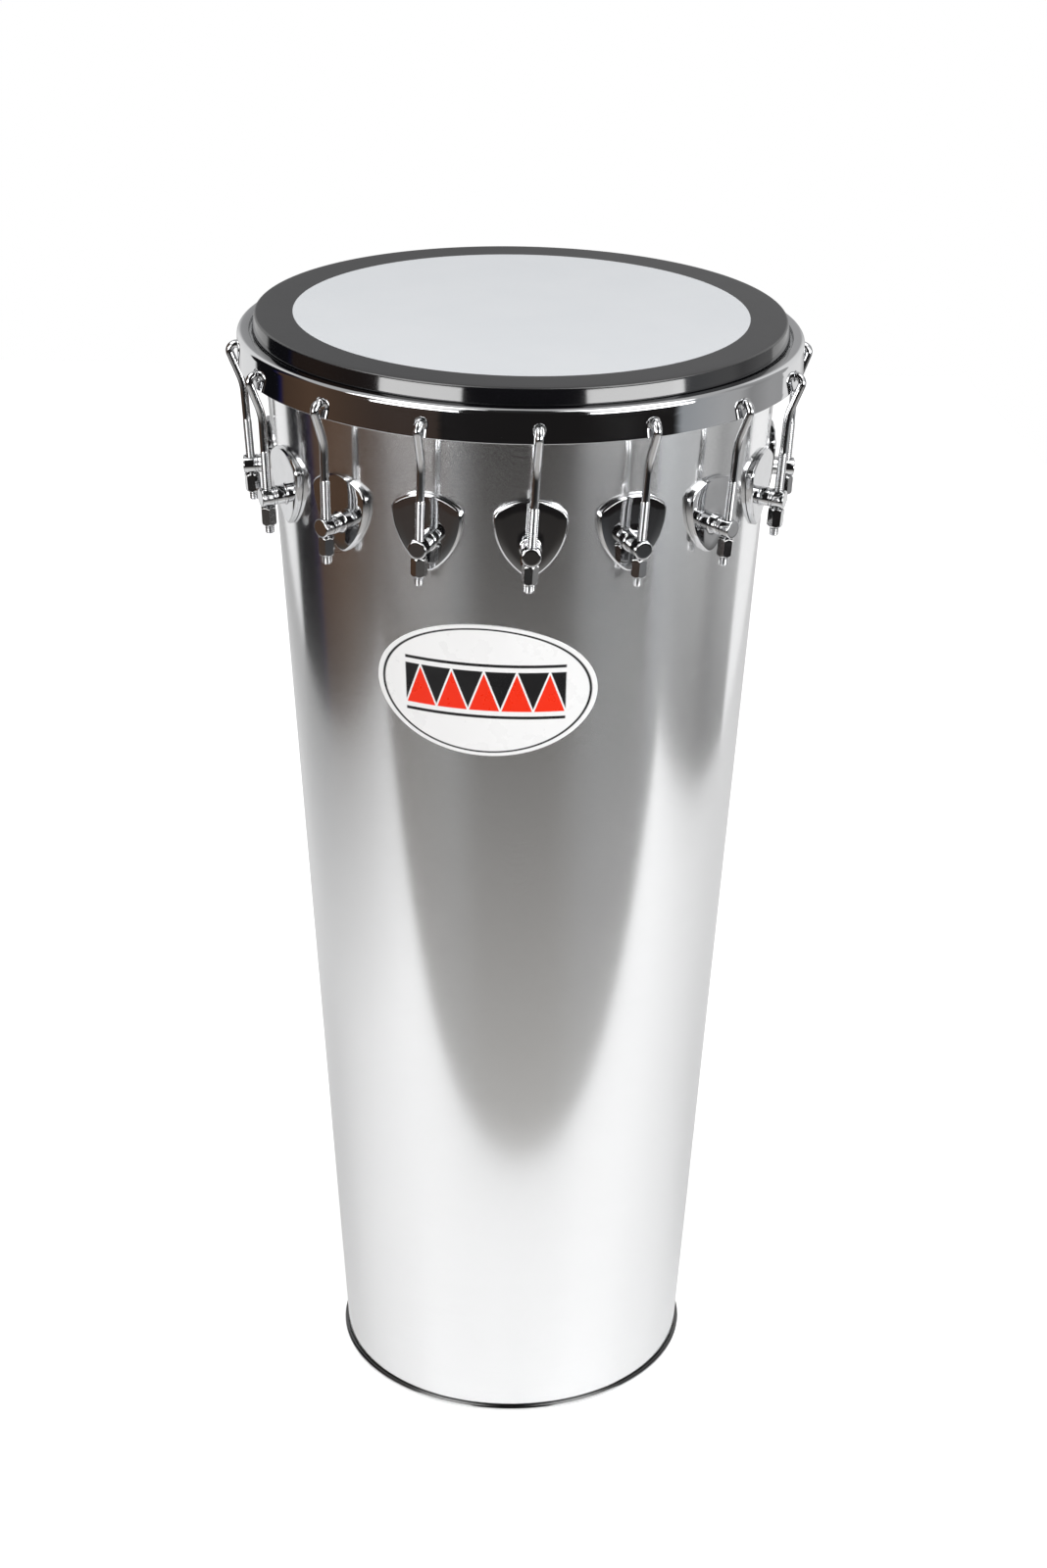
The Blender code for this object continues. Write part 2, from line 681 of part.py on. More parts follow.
def make_badge():
    """A thin oval sticker that follows the wall: a slice of a thin cone, cut out by an oval prism."""
    low = BADGE_MIDDLE_HEIGHT - BADGE_HEIGHT
    high = BADGE_MIDDLE_HEIGHT + BADGE_HEIGHT
    back = GAP
    face = GAP + BADGE_THICKNESS
    outline = [
        (wall_radius(high) + face, high),
        (wall_radius(low) + face, low),
        (wall_radius(low) + back, low),
        (wall_radius(high) + back, high),
    ]
    badge = as_part(turned(outline, RING_STEPS, closed=True), "badge", "vinyl_badge")
    badge.rotation_euler.z = RING_START
    radius = wall_radius(BADGE_MIDDLE_HEIGHT)
    half_width = radius * math.sin(BADGE_WIDTH / 2 / radius)
    oval = as_cutter(cylinders(1.0, radius, BADGE_STEPS, [Matrix.Identity(4)]), "badge_outline")
    oval.data.transform(Matrix.Diagonal((BADGE_HEIGHT / 2, half_width, 1.0, 1.0)))
    oval.matrix_world = outward_frame(FRONT + BADGE_AZIMUTH, radius, BADGE_MIDDLE_HEIGHT)
    add_boolean(badge, oval, "INTERSECT")
    bake(badge)


def make_hoop_slide():
    """The hoop, head, flesh hoop and hooks rise together along the drum's axis from this point."""
    slide = bpy.data.objects.new("hoop_slide", None)
    slide.empty_display_size = 0.05
    PARTS.objects.link(slide)
    return slide


clear_scene()
PARTS = new_collection("timbal_drum")
CUTTERS = new_collection("cutters")
hoop_slide = make_hoop_slide()
make_shell()
make_bead_wire()
make_drum_head(hoop_slide)
make_flesh_hoop(hoop_slide)
make_tension_hoop(hoop_slide)
make_lugs()
make_hooks(hoop_slide)
make_nuts()
make_badge()
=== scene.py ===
"""Looks of a timbal drum: a tall cone of polished aluminium sheet with a film head and sixteen hook rods.

Metres throughout, in the frame of the solids: the drum stands at z = 0 with its axis on Z, badge towards -Y.
"""

import math

import bmesh
import bpy
import numpy as np
from mathutils import Matrix


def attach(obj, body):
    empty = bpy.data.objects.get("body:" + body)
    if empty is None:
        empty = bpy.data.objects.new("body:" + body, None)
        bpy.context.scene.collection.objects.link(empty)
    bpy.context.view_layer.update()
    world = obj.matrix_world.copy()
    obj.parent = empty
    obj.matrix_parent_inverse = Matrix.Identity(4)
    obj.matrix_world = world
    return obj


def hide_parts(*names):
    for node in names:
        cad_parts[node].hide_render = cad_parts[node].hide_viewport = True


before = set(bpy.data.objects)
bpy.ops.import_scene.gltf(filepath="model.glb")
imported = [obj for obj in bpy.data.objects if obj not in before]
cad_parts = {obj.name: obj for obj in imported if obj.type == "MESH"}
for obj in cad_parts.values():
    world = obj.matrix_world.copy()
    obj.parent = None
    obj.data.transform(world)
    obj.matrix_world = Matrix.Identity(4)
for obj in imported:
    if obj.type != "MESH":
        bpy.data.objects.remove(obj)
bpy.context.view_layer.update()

# Shell: the wall's outer radius is given at the floor and at the head's height
HEIGHT = 0.800
FOOT_RADIUS = 0.1259
EDGE_RADIUS = 0.1745
SHEET = 0.0012
FOOT_ROLL = 0.0021
EDGE_ROLL = 0.0027
GAP = 0.0003

# Head
FILM = 0.0003
COLLAR_GAP = 0.0005
COLLAR_SHOWN = 0.0108
COLLAR_FLARE = math.radians(10.0)
SHOULDER = 0.0020
BORDER_WIDTH = 0.0258
HEM_WIDTH = 0.0045

# Flesh hoop and tension hoop
FLESH_WIDTH = 0.0050
FLESH_HEIGHT = 0.0058
FLANGE_THICKNESS = 0.0020
FLANGE_GAP = 0.0018
BAND_THICKNESS = 0.0018
BAND_GAP = 0.0027
BAND_SHOULDER = 0.0034
BAND_BELOW_HOLE = 0.0058
EDGE_ROUND = 0.0005

# Lugs
LUG_COUNT = 16
LUG_TURN = math.radians(2.2)
HOOP_TURN = math.radians(1.2)
LUG_BELOW_HOOK = 0.0840
PLATE_THICKNESS = 0.0032
PLATE_CORNER_RADIUS = 0.0075
PLATE_CORNER_ACROSS = 0.0165
PLATE_CORNER_UP = 0.0187
PLATE_TIP_DOWN = 0.0134
PLATE_TOP_BULGE = 0.0054
PLATE_SIDE_BULGE = 0.0042
BEVEL_WIDTH = 0.0013
BEVEL_LOW = math.radians(38.0)
BEVEL_HIGH = math.radians(46.0)
BEVEL_EASE = 0.0003
POST_WALL = 0.0026
POST_END_WALL = 0.0014
POST_FILLET = 0.0012
POST_RIM = 0.0009
GROOVE_WIDTH = 0.0009
GROOVE_DEPTH = 0.0004
GROOVES_UP = (0.0070, 0.0088)
PLATE_INSET_MARGIN = 0.0004
PLATE_BACK_EDGE = 0.0002
SCREW_RADIUS = 0.0030
WASHER_RADIUS = 0.0078
WASHER_THICKNESS = 0.0012
SCREW_HEAD_RADIUS = 0.0055
SCREW_HEAD_HEIGHT = 0.0032
SCREW_EASE = 0.0003
ROD_CLEARANCE = 0.00012

# Hook rods
ROD_OFFSET = 0.0155
THREAD_RADIUS = 0.003175
THREAD_PITCH = 0.00127
THREAD_DEPTH = 0.0006
THREAD_ABOVE_POST = 0.0325
THREAD_FADE_TURNS = 1.5
THREAD_CREST_SHARE = 1.25
SHANK_RADIUS = 0.00275
TAIL = 0.0065
TAIL_CHAMFER = 0.0008
HOOK_TIP_TO_COLLAR = 0.0030
HOOK_TIP_GAP = 0.00075
HOOK_TIP_ROUND = 0.0009
HOOK_ABOVE_HOLE = 0.0005
HOOK_HOLE_CLEARANCE = 0.00105
HOOK_BEND_RADIUS = 0.0046
JOG_DOWN = 0.0275
JOG_RADIUS = 0.0400

# Nuts
NUT_WALL = 0.00107
NUT_LENGTH = 0.0125
NUT_CHAMFER = 0.0009
NUT_BORE_CHAMFER = 0.0004
NUT_FACE_MARGIN = 0.0001
NUT_SIDE_MARGIN = 1.6 * NUT_CHAMFER
NUT_LOOSENING_TURNS = 4
FIRST_NUT_SPIN = math.radians(15.0)
NUT_SPIN_STEP = math.radians(23.0)

# Badge
BADGE_WIDTH = 0.1500
BADGE_HEIGHT = 0.0940
BADGE_THICKNESS = 0.0003
BADGE_BELOW_LUGS = 0.0563
BADGE_AZIMUTH = math.radians(-8.0)

# Grid steps and spacings of the fine surfaces
RING_STEPS = 384
WALL_ROWS = 24
ROLL_ROWS = 16
MILL_OVERLAP_ROWS = 3
HEAD_RINGS = 24
HEAD_FIRST_RING = 0.004
BORDER_RINGS = 6
SHOULDER_STEPS = 10
SECTOR_STEPS = 24
HOLE_RINGS = 7
HOLE_RING_CROWDING = 1.4
HOLE_ROUND_ROWS = 5
BAND_ROWS = 10
BAND_SHOULDER_STEPS = 12
BAND_CORNER_STEPS = 6
BAND_EDGE_STEPS = 4
WELD_DISTANCE = 2e-6
SHARP_DEGREES = 35.0
PLATE_ARC_STEPS = 20
PLATE_CORNER_STEPS = 12
PLATE_FRONT_SHARES = (0.3, 0.6, 0.85)
PLATE_BACK_SHARES = (0.75, 0.5, 0.25)
EASE_STEPS = 3
BEVEL_STEPS = 4
POST_END_SHARES = (0.3, 0.7)
POST_RIM_STEPS = 5
POST_FILLET_STEPS = 6
GROOVE_ROWS = 7
CUTTER_STEPS = 48
TUBE_STEPS = 20
BEND_STEPS = 14
TIP_RUN_STEPS = 3
SLANT_RUN_STEPS = 6
LEAD_RUN_STEPS = 4
ROWS_PER_TURN = 6
NUT_FLAT_STEPS = 10
NUT_END_ROWS = 8
NUT_SIDE_ROWS = 4
BADGE_RINGS = 24
BADGE_RING_SHARES = (0.02, 0.98)
BADGE_STEPS = 144

# Camera: its place, its aim and its lens, for a 1068 by 1600 picture
CAMERA_PLACE = (0.0, -1.9777, 1.3364)
CAMERA_DOWN = math.radians(24.016)
CAMERA_YAW = math.radians(3.693)
CAMERA_ROLL = math.radians(2.113)
CAMERA_LENS = 69.05
CAMERA_SHIFT = -0.1093
CAMERA_SENSOR = 36.0
CAMERA_CLIP_START = 0.01

# Directions and slopes
FRONT = math.radians(-90.0)
LUG_PITCH = 2 * math.pi / LUG_COUNT
WALL_SLOPE = (EDGE_RADIUS - FOOT_RADIUS) / HEIGHT
STEEPNESS = math.atan(WALL_SLOPE)
LOOSENING_TRAVEL = NUT_LOOSENING_TURNS * THREAD_PITCH


def wall_radius(height):
    """Outer radius of the shell's wall at a height above the floor."""
    return FOOT_RADIUS + WALL_SLOPE * height


# Heights, from the head down to the badge, with the hook holes' radius
EDGE_ROLL_HEIGHT = HEIGHT - FILM - GAP - EDGE_ROLL
FLANGE_TOP = HEIGHT - COLLAR_SHOWN
FLANGE_BOTTOM = FLANGE_TOP - FLANGE_THICKNESS
FLESH_BOTTOM = FLANGE_BOTTOM - GAP - FLESH_HEIGHT
HEM_TOP = FLESH_BOTTOM - GAP
HEM_BOTTOM = HEM_TOP - FILM
HOOK_HEIGHT = HEM_BOTTOM - HOOK_TIP_GAP - SHANK_RADIUS
HOOK_HOLE_HEIGHT = HOOK_HEIGHT - HOOK_ABOVE_HOLE
HOOK_HOLE_RADIUS = SHANK_RADIUS + HOOK_HOLE_CLEARANCE
BAND_BOTTOM = HOOK_HOLE_HEIGHT - HOOK_HOLE_RADIUS - BAND_BELOW_HOLE
LUG_HEIGHT = HOOK_HEIGHT - LUG_BELOW_HOOK
BADGE_MIDDLE_HEIGHT = LUG_HEIGHT - BADGE_BELOW_LUGS - BADGE_HEIGHT / 2

# Radii: the shell's two rolls, then from the collar out to the tension hoop
FOOT_ROLL_RADIUS = wall_radius(FOOT_ROLL) - SHEET + FOOT_ROLL
EDGE_ROLL_RADIUS = wall_radius(EDGE_ROLL_HEIGHT) - SHEET + EDGE_ROLL
COLLAR_SPREAD = math.tan(COLLAR_FLARE)
COLLAR_RADIUS = (
    EDGE_ROLL_RADIUS + EDGE_ROLL + COLLAR_GAP + FILM + (EDGE_ROLL_HEIGHT - FLANGE_TOP) * COLLAR_SPREAD
)
RIM_RADIUS = COLLAR_RADIUS - (COLLAR_SHOWN - SHOULDER) * COLLAR_SPREAD
BORDER_RADIUS = RIM_RADIUS - BORDER_WIDTH
FLESH_INNER_RADIUS = COLLAR_RADIUS + GAP
FLANGE_INNER_RADIUS = COLLAR_RADIUS + FLANGE_GAP
BAND_INNER_RADIUS = FLESH_INNER_RADIUS + FLESH_WIDTH + BAND_GAP
BAND_OUTER_RADIUS = BAND_INNER_RADIUS + BAND_THICKNESS

# Where a rod's axis crosses its post's axis, for a lug at azimuth 0, and how the rod leans sideways
CROSSING = np.array([
    wall_radius(LUG_HEIGHT) + ROD_OFFSET * math.cos(STEEPNESS),
    0.0,
    LUG_HEIGHT - ROD_OFFSET * math.sin(STEEPNESS),
])
ROD_RISE = (HOOK_HEIGHT - CROSSING[2]) / math.cos(STEEPNESS)
ROD_LEAN = math.atan(BAND_OUTER_RADIUS * math.sin(HOOP_TURN) / ROD_RISE)
ROD_DRIFT = LOOSENING_TRAVEL * math.hypot(math.sin(STEEPNESS), math.sin(ROD_LEAN))
ROD_HOLE_RADIUS = THREAD_RADIUS + ROD_DRIFT + ROD_CLEARANCE
POST_RADIUS = ROD_HOLE_RADIUS + POST_WALL


def lug_azimuth(index):
    return FRONT + LUG_TURN + index * LUG_PITCH


def directions(angles):
    """(cos a, sin a) for each angle."""
    return np.stack([np.cos(angles), np.sin(angles)], axis=-1)


def full_turn(steps):
    """The angles that part a whole turn into equal steps."""
    return np.arange(steps) * 2 * math.pi / steps


def unit(vectors):
    """The vectors at length 1."""
    return vectors / np.linalg.norm(vectors, axis=-1, keepdims=True)


def arc(centre, radius, start, end, steps):
    """Points of an arc in a plane, from one angle in radians to another: centre + radius (cos a, sin a)."""
    return np.asarray(centre) + radius * directions(np.linspace(start, end, steps + 1))


def run(start, end, steps):
    """Points of a straight run in a plane, both ends left out."""
    share = np.arange(1, steps)[:, None] / steps
    return (1 - share) * np.asarray(start) + share * np.asarray(end)


def turned(profile, steps=RING_STEPS, start=0.0):
    """A grid of a profile's (radius, height) points carried round Z: (r cos a, r sin a, height)."""
    angles = start + full_turn(steps)
    radii, heights = profile[:, :1], profile[:, 1:]
    return np.stack([radii * np.cos(angles), radii * np.sin(angles), heights + 0 * angles], axis=-1)


def skin(grid, ends="capped"):
    """Points, quads and triangles of a grid whose columns wrap round.

    A fan of triangles closes each end row if the ends are capped. The last row meets the first one if
    they are joined, and both stay free if they are open.
    """
    rows, columns, _ = grid.shape
    index = np.arange(rows * columns).reshape(rows, columns)
    near, far = index[:-1], index[1:]
    if ends == "joined":
        near, far = index, np.roll(index, -1, axis=0)
    corners = [near, far, np.roll(far, -1, axis=1), np.roll(near, -1, axis=1)]
    quads = np.stack(corners, axis=-1).reshape(-1, 4)
    points = grid.reshape(-1, 3)
    if ends != "capped":
        return points, quads, np.empty((0, 3), int)
    middles = np.stack([grid[0].mean(axis=0), grid[-1].mean(axis=0)])
    first = np.stack([index[0], np.roll(index[0], -1), np.full(columns, len(points))], axis=-1)
    last = np.stack([np.roll(index[-1], -1), index[-1], np.full(columns, len(points) + 1)], axis=-1)
    return np.vstack([points, middles]), quads, np.vstack([first, last])


def joined(*skins):
    """Several sets of points, quads and triangles as one."""
    counts = np.cumsum([0] + [len(s[0]) for s in skins])
    points = np.vstack([s[0] for s in skins])
    quads = np.vstack([s[1] + n for s, n in zip(skins, counts)])
    triangles = np.vstack([s[2] + n for s, n in zip(skins, counts)])
    return points, quads, triangles


def volume(points, quads, triangles):
    """Signed volume: the sum of a . (b x c) / 6 over the surface's triangles."""
    corners = np.vstack([quads[:, [0, 1, 2]], quads[:, [0, 2, 3]], triangles])
    a, b, c = points[corners[:, 0]], points[corners[:, 1]], points[corners[:, 2]]
    return float(np.einsum("ij,ij->", a, np.cross(b, c)) / 6)


def new_mesh(name, surface, sharp=SHARP_DEGREES):
    """A smooth-shaded mesh of a closed surface, faces outward, with edges over the angle kept sharp."""
    points, quads, triangles = surface
    if volume(points - points.mean(axis=0), quads, triangles) < 0:
        quads, triangles = quads[:, ::-1], triangles[:, ::-1]
    mesh = bpy.data.meshes.new(name)
    mesh.from_pydata(points.tolist(), [], quads.tolist() + triangles.tolist())
    mesh.shade_smooth()
    mesh.set_sharp_from_angle(angle=math.radians(sharp))
    return mesh


def in_scene(name, data):
    """A new object in the scene."""
    obj = bpy.data.objects.new(name, data)
    bpy.context.scene.collection.objects.link(obj)
    return obj


def facing(place, *axes):
    """The matrix of an object at a place, from its own X, Y and Z."""
    return Matrix.Translation(place) @ Matrix(np.column_stack(axes).tolist()).to_4x4()


def piece(name, mesh, materials, body, slot, *nodes):
    """A finished piece at the origin: its materials, the body it rides and the nodes it stands for."""
    obj = in_scene(name, mesh)
    for material in materials:
        mesh.materials.append(material)
    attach(obj, body)
    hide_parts(*nodes)


def placed(surface, matrix):
    """The surface moved by a 4 by 4 matrix."""
    points, quads, triangles = surface
    matrix = np.array(matrix)
    return points @ matrix[:3, :3].T + matrix[:3, 3], quads, triangles


class Nodes:
    """Short calls that add nodes to a shader tree, from sockets or plain values to an output."""

    def __init__(self, tree):
        self.tree = tree

    def add(self, kind, **settings):
        node = self.tree.nodes.new(kind)
        for key, value in settings.items():
            setattr(node, key, value)
        return node

    def feed(self, source, target):
        """Links a socket to an input, or sets the input to a plain value."""
        if isinstance(source, bpy.types.NodeSocket):
            self.tree.links.new(source, target)
        else:
            target.default_value = source

    def feed_all(self, sources, targets):
        for source, target in zip(sources, targets):
            self.feed(source, target)

    def maths(self, operation, *sources):
        node = self.add("ShaderNodeMath", operation=operation)
        self.feed_all(sources, node.inputs)
        return node.outputs[0]

    def plus(self, first, second):
        return self.maths("ADD", first, second)

    def minus(self, first, second):
        return self.maths("SUBTRACT", first, second)

    def times(self, first, second):
        return self.maths("MULTIPLY", first, second)

    def times_plus(self, first, second, third):
        return self.maths("MULTIPLY_ADD", first, second, third)

    def one_over(self, value):
        return self.maths("DIVIDE", 1.0, value)

    def ranged(self, value, low, high, to_low=0.0, to_high=1.0):
        """The value carried from one range to another, and kept inside it."""
        node = self.add("ShaderNodeMapRange")
        self.feed_all((value, low, high, to_low, to_high), node.inputs)
        return node.outputs["Result"]

    def mixed(self, share, first, second):
        node = self.add("ShaderNodeMix", data_type="RGBA")
        self.feed(share, node.inputs["Factor"])
        self.feed(first, node.inputs["A"])
        self.feed(second, node.inputs["B"])
        return node.outputs["Result"]

    def place(self):
        return self.add("ShaderNodeTexCoord").outputs["Object"]

    def parts(self, vector):
        """The X, Y and Z of a vector."""
        node = self.add("ShaderNodeSeparateXYZ")
        self.feed(vector, node.inputs[0])
        return tuple(node.outputs)

    def stretched(self, vector, around, upward):
        """The vector with its X and Y times one number and its Z times another."""
        scale = self.add("ShaderNodeCombineXYZ")
        self.feed_all((around, around, upward), scale.inputs)
        node = self.add("ShaderNodeVectorMath", operation="MULTIPLY")
        self.feed_all((vector, scale.outputs[0]), node.inputs)
        return node.outputs[0]

    def noise(self, vector, scale, detail, roughness=0.5):
        node = self.add("ShaderNodeTexNoise")
        self.feed(vector, node.inputs["Vector"])
        self.feed(scale, node.inputs["Scale"])
        self.feed(detail, node.inputs["Detail"])
        self.feed(roughness, node.inputs["Roughness"])
        return node.outputs["Fac"]

    def use(self, group, **sources):
        """Places a node group, with its inputs named with _ for each space, and gives its outputs by name."""
        node = self.add("ShaderNodeGroup", node_tree=group)
        for label, source in sources.items():
            self.feed(source, node.inputs[label.replace("_", " ")])
        return node.outputs


class Finish(Nodes):
    """The nodes of a Principled material. Its plain colour and roughness hold wherever nothing feeds them."""

    def __init__(self, name, colour, metallic, roughness, **sockets):
        self.material = bpy.data.materials.new(name)
        self.material.use_nodes = True
        super().__init__(self.material.node_tree)
        self.shader = self.tree.nodes["Principled BSDF"]
        self.shade(Base_Color=(*colour, 1.0), Metallic=metallic, Roughness=roughness, **sockets)

    def shade(self, **sources):
        """Feeds the shader's sockets, named with _ for each space."""
        for label, source in sources.items():
            self.feed(source, self.shader.inputs[label.replace("_", " ")])

    def bump(self, height, depth):
        node = self.add("ShaderNodeBump")
        node.inputs["Distance"].default_value = 1.0
        node.inputs["Strength"].default_value = 1.0
        self.feed(self.times(height, depth), node.inputs["Height"])
        self.shade(Normal=node.outputs["Normal"])


def new_group(name, numbers, results):
    """A shader node group from a vector and named numbers to named numbers, and its inner ends."""
    tree = bpy.data.node_groups.new(name, "ShaderNodeTree")
    tree.interface.new_socket("Vector", in_out="INPUT", socket_type="NodeSocketVector")
    for way, labels in (("INPUT", numbers), ("OUTPUT", results)):
        for label in labels:
            tree.interface.new_socket(label, in_out=way, socket_type="NodeSocketFloat")
    nodes = Nodes(tree)
    return nodes, nodes.add("NodeGroupInput").outputs, nodes.add("NodeGroupOutput").inputs


# The stretches of a noise's scale that finishes spread out, and the distances from a speck's middle, in
# cells, between which it fades
WIDE_NOISE = (0.30, 0.70)
NARROW_NOISE = (0.35, 0.65)
SPECK_FADE = (0.06, 0.16)


def brushing_group():
    """Lines that run round the drum: noise that changes fast with height and slowly along X and Y."""
    nodes, given, put = new_group("brushing", ("Lines", "Length", "Tone Scale"), ("Height", "Tone"))
    along = nodes.stretched(given["Vector"], nodes.one_over(given["Length"]), given["Lines"])
    nodes.feed(nodes.noise(along, scale=1.0, detail=2.0, roughness=0.6), put["Height"])
    nodes.feed(nodes.noise(along, scale=given["Tone Scale"], detail=3.0), put["Tone"])
    return nodes.tree


def handling_group():
    """Faint smudges and dust: a soft cloud and sparse fine specks, each from 0 to 1."""
    nodes, given, put = new_group("handling", ("Cloud Size", "Speck Size"), ("Cloud", "Specks"))
    cloud_scale = nodes.one_over(given["Cloud Size"])
    cloud = nodes.noise(given["Vector"], scale=cloud_scale, detail=5.0, roughness=0.6)
    nodes.feed(nodes.ranged(cloud, *NARROW_NOISE), put["Cloud"])
    specks = nodes.add("ShaderNodeTexVoronoi")
    nodes.feed(given["Vector"], specks.inputs["Vector"])
    nodes.feed(nodes.one_over(given["Speck Size"]), specks.inputs["Scale"])
    nodes.feed(nodes.ranged(specks.outputs["Distance"], *SPECK_FADE, 1.0, 0.0), put["Specks"])
    return nodes.tree


def waviness_group():
    """Slow unevenness of rolled sheet: noise that changes round the drum and hardly at all with height."""
    nodes, given, put = new_group("waviness", ("Width", "Drawn Out"), ("Height",))
    across = nodes.one_over(given["Width"])
    upward = nodes.maths("DIVIDE", across, given["Drawn Out"])
    wide = nodes.stretched(given["Vector"], across, upward)
    nodes.feed(nodes.noise(wide, scale=1.0, detail=1.0), put["Height"])
    return nodes.tree


BRUSHING = brushing_group()
HANDLING = handling_group()
WAVINESS = waviness_group()

# Each finish varies between the two tones of its pair
ALUMINIUM_TONES = (0.90, 0.905, 0.91, 1.0), (0.94, 0.945, 0.95, 1.0)
MILL_TONES = (0.62, 0.63, 0.64, 1.0), (0.76, 0.77, 0.78, 1.0)
FILM_TONES = (0.685, 0.708, 0.734, 1.0), (0.722, 0.741, 0.763, 1.0)
BORDER_TONES = (0.004, 0.004, 0.005, 1.0), (0.020, 0.020, 0.022, 1.0)

# The shell's polish: where on the noise's scale a rough line starts and is full, the lines' and waves' shares
# of the tone, and what smudges add to the roughness
LINE_NOISE = (0.56, 0.61)
LAND_ROUGHNESS = 0.125
LINE_ROUGHNESS = 0.34
LINE_TONE_SHARE = 0.5
WAVE_TONE_SHARE = 0.5
WAVE_DEPTH = 0.000015
SHELL_SMUDGE = 0.01

# The painted shade in the seam over the foot's roll, a dark line for the groove's shadow: the heights
# between which it is full, and how far up it fades. Downward it fades to the roll's middle.
SEAM_SHADE_BOTTOM = 1.5 * FOOT_ROLL
SEAM_SHADE_TOP = 2.0 * FOOT_ROLL
SEAM_SHADE_FADE = 0.0010
SEAM_SHADE_GREY = (0.10, 0.10, 0.10, 1.0)

# Mill sheet, wire and the badge's vinyl: a finish's roughness varies between the two of its pair
MILL_ROUGHNESSES = (0.34, 0.50)
MILL_SMUDGE = 0.06
MILL_LINE_DEPTH = 0.00001
WIRE_ROUGHNESSES = (0.28, 0.45)
VINYL_ROUGHNESSES = (0.24, 0.34)

# The pale film's coat: its grains and the shares of clouds and grains in its tone
FILM_GRAINS = 1400.0
FILM_GRAIN_DEPTH = 0.000012
FILM_CLOUD_SHARE = 0.45
FILM_GRAIN_SHARE = 0.55
FILM_ROUGHNESSES = (0.36, 0.52)

# The black film: roughness on the collar and on top, how far under the top the gloss starts and the satin
# ends, and what dust and smudges add
COLLAR_ROUGHNESS = 0.07
SATIN_ROUGHNESS = 0.30
GLOSS_BELOW = 0.6 * SHOULDER
SATIN_ABOVE = 0.4 * SHOULDER
DUST_SHARE = 0.3
BORDER_SMUDGE = 0.02

# Plating: how much handling marks roughen it, and how much they dull it
CHROME_SPECK_SIZE = 0.0022
SMUDGE_ROUGHNESS = 0.035
SPECK_ROUGHNESS = 0.03
SMUDGE_SHARE = 0.6
DULLED = 0.93


def polished_aluminium():
    """The shell's outside: polished lands between fine rougher lines, which scatter light up and down.

    A painted shade lies in the seam as a dark line, where the wall meets the top of the foot's roll.
    """
    finish = Finish(
        "polished_aluminium", (0.92, 0.925, 0.93), metallic=1.0, roughness=0.2,
        Anisotropic=0.7, Anisotropic_Rotation=0.25,
    )
    place = finish.place()
    lines = finish.use(BRUSHING, Vector=place, Lines=150000.0, Length=0.0003, Tone_Scale=0.006)
    sheet = finish.use(WAVINESS, Vector=place, Width=0.045, Drawn_Out=20.0)["Height"]
    marks = finish.use(HANDLING, Vector=place, Cloud_Size=0.11, Speck_Size=0.012)
    base = finish.ranged(lines["Height"], *LINE_NOISE, LAND_ROUGHNESS, LINE_ROUGHNESS)
    drawn = finish.ranged(lines["Tone"], *WIDE_NOISE, 0.0, LINE_TONE_SHARE)
    rolled = finish.ranged(sheet, *NARROW_NOISE, 0.0, WAVE_TONE_SHARE)
    unshaded = finish.mixed(finish.plus(drawn, rolled), *ALUMINIUM_TONES)
    # Painted shade: the colour turns grey in the seam, standing in for the groove's shadow
    height = finish.parts(place)[2]
    above = finish.ranged(height, SEAM_SHADE_TOP, SEAM_SHADE_TOP + SEAM_SHADE_FADE, 1.0, 0.0)
    below = finish.ranged(height, FOOT_ROLL, SEAM_SHADE_BOTTOM)
    finish.shade(
        Base_Color=finish.mixed(finish.times(above, below), unshaded, SEAM_SHADE_GREY),
        Roughness=finish.times_plus(marks["Cloud"], SHELL_SMUDGE, base),
        Tangent=finish.add("ShaderNodeTangent", direction_type="RADIAL", axis="Z").outputs[0],
    )
    finish.bump(sheet, WAVE_DEPTH)
    return finish.material


def mill_aluminium():
    """The shell's inside and the flesh hoop: duller sheet with drawn lines."""
    finish = Finish("mill_aluminium", (0.70, 0.71, 0.72), metallic=1.0, roughness=0.42)
    place = finish.place()
    lines = finish.use(BRUSHING, Vector=place, Lines=900.0, Length=0.03, Tone_Scale=0.08)
    marks = finish.use(HANDLING, Vector=place, Cloud_Size=0.05, Speck_Size=0.006)
    drawn = finish.ranged(lines["Tone"], *WIDE_NOISE, *MILL_ROUGHNESSES)
    finish.shade(
        Base_Color=finish.mixed(finish.ranged(lines["Tone"], *WIDE_NOISE), *MILL_TONES),
        Roughness=finish.times_plus(marks["Cloud"], MILL_SMUDGE, drawn),
    )
    finish.bump(lines["Height"], MILL_LINE_DEPTH)
    return finish.material


def chrome(name, colour, roughness, cloud_size):
    """Bright plating with a faint film of handling marks."""
    finish = Finish(name, colour, metallic=1.0, roughness=roughness)
    marks = finish.use(HANDLING, Vector=finish.place(), Cloud_Size=cloud_size, Speck_Size=CHROME_SPECK_SIZE)
    smudged = finish.plus(roughness, finish.times(marks["Cloud"], SMUDGE_ROUGHNESS))
    dull = tuple(DULLED * c for c in colour)
    share = finish.times(marks["Cloud"], SMUDGE_SHARE)
    finish.shade(
        Base_Color=finish.mixed(share, (*colour, 1.0), (*dull, 1.0)),
        Roughness=finish.plus(smudged, finish.times(marks["Specks"], SPECK_ROUGHNESS)),
    )
    return finish.material


def steel_wire():
    """Plain drawn wire inside the foot's roll."""
    finish = Finish("steel_wire", (0.45, 0.45, 0.46), metallic=1.0, roughness=0.35)
    marks = finish.use(HANDLING, Vector=finish.place(), Cloud_Size=0.004, Speck_Size=0.001)
    finish.shade(Roughness=finish.ranged(marks["Cloud"], 0.0, 1.0, *WIRE_ROUGHNESSES))
    return finish.material


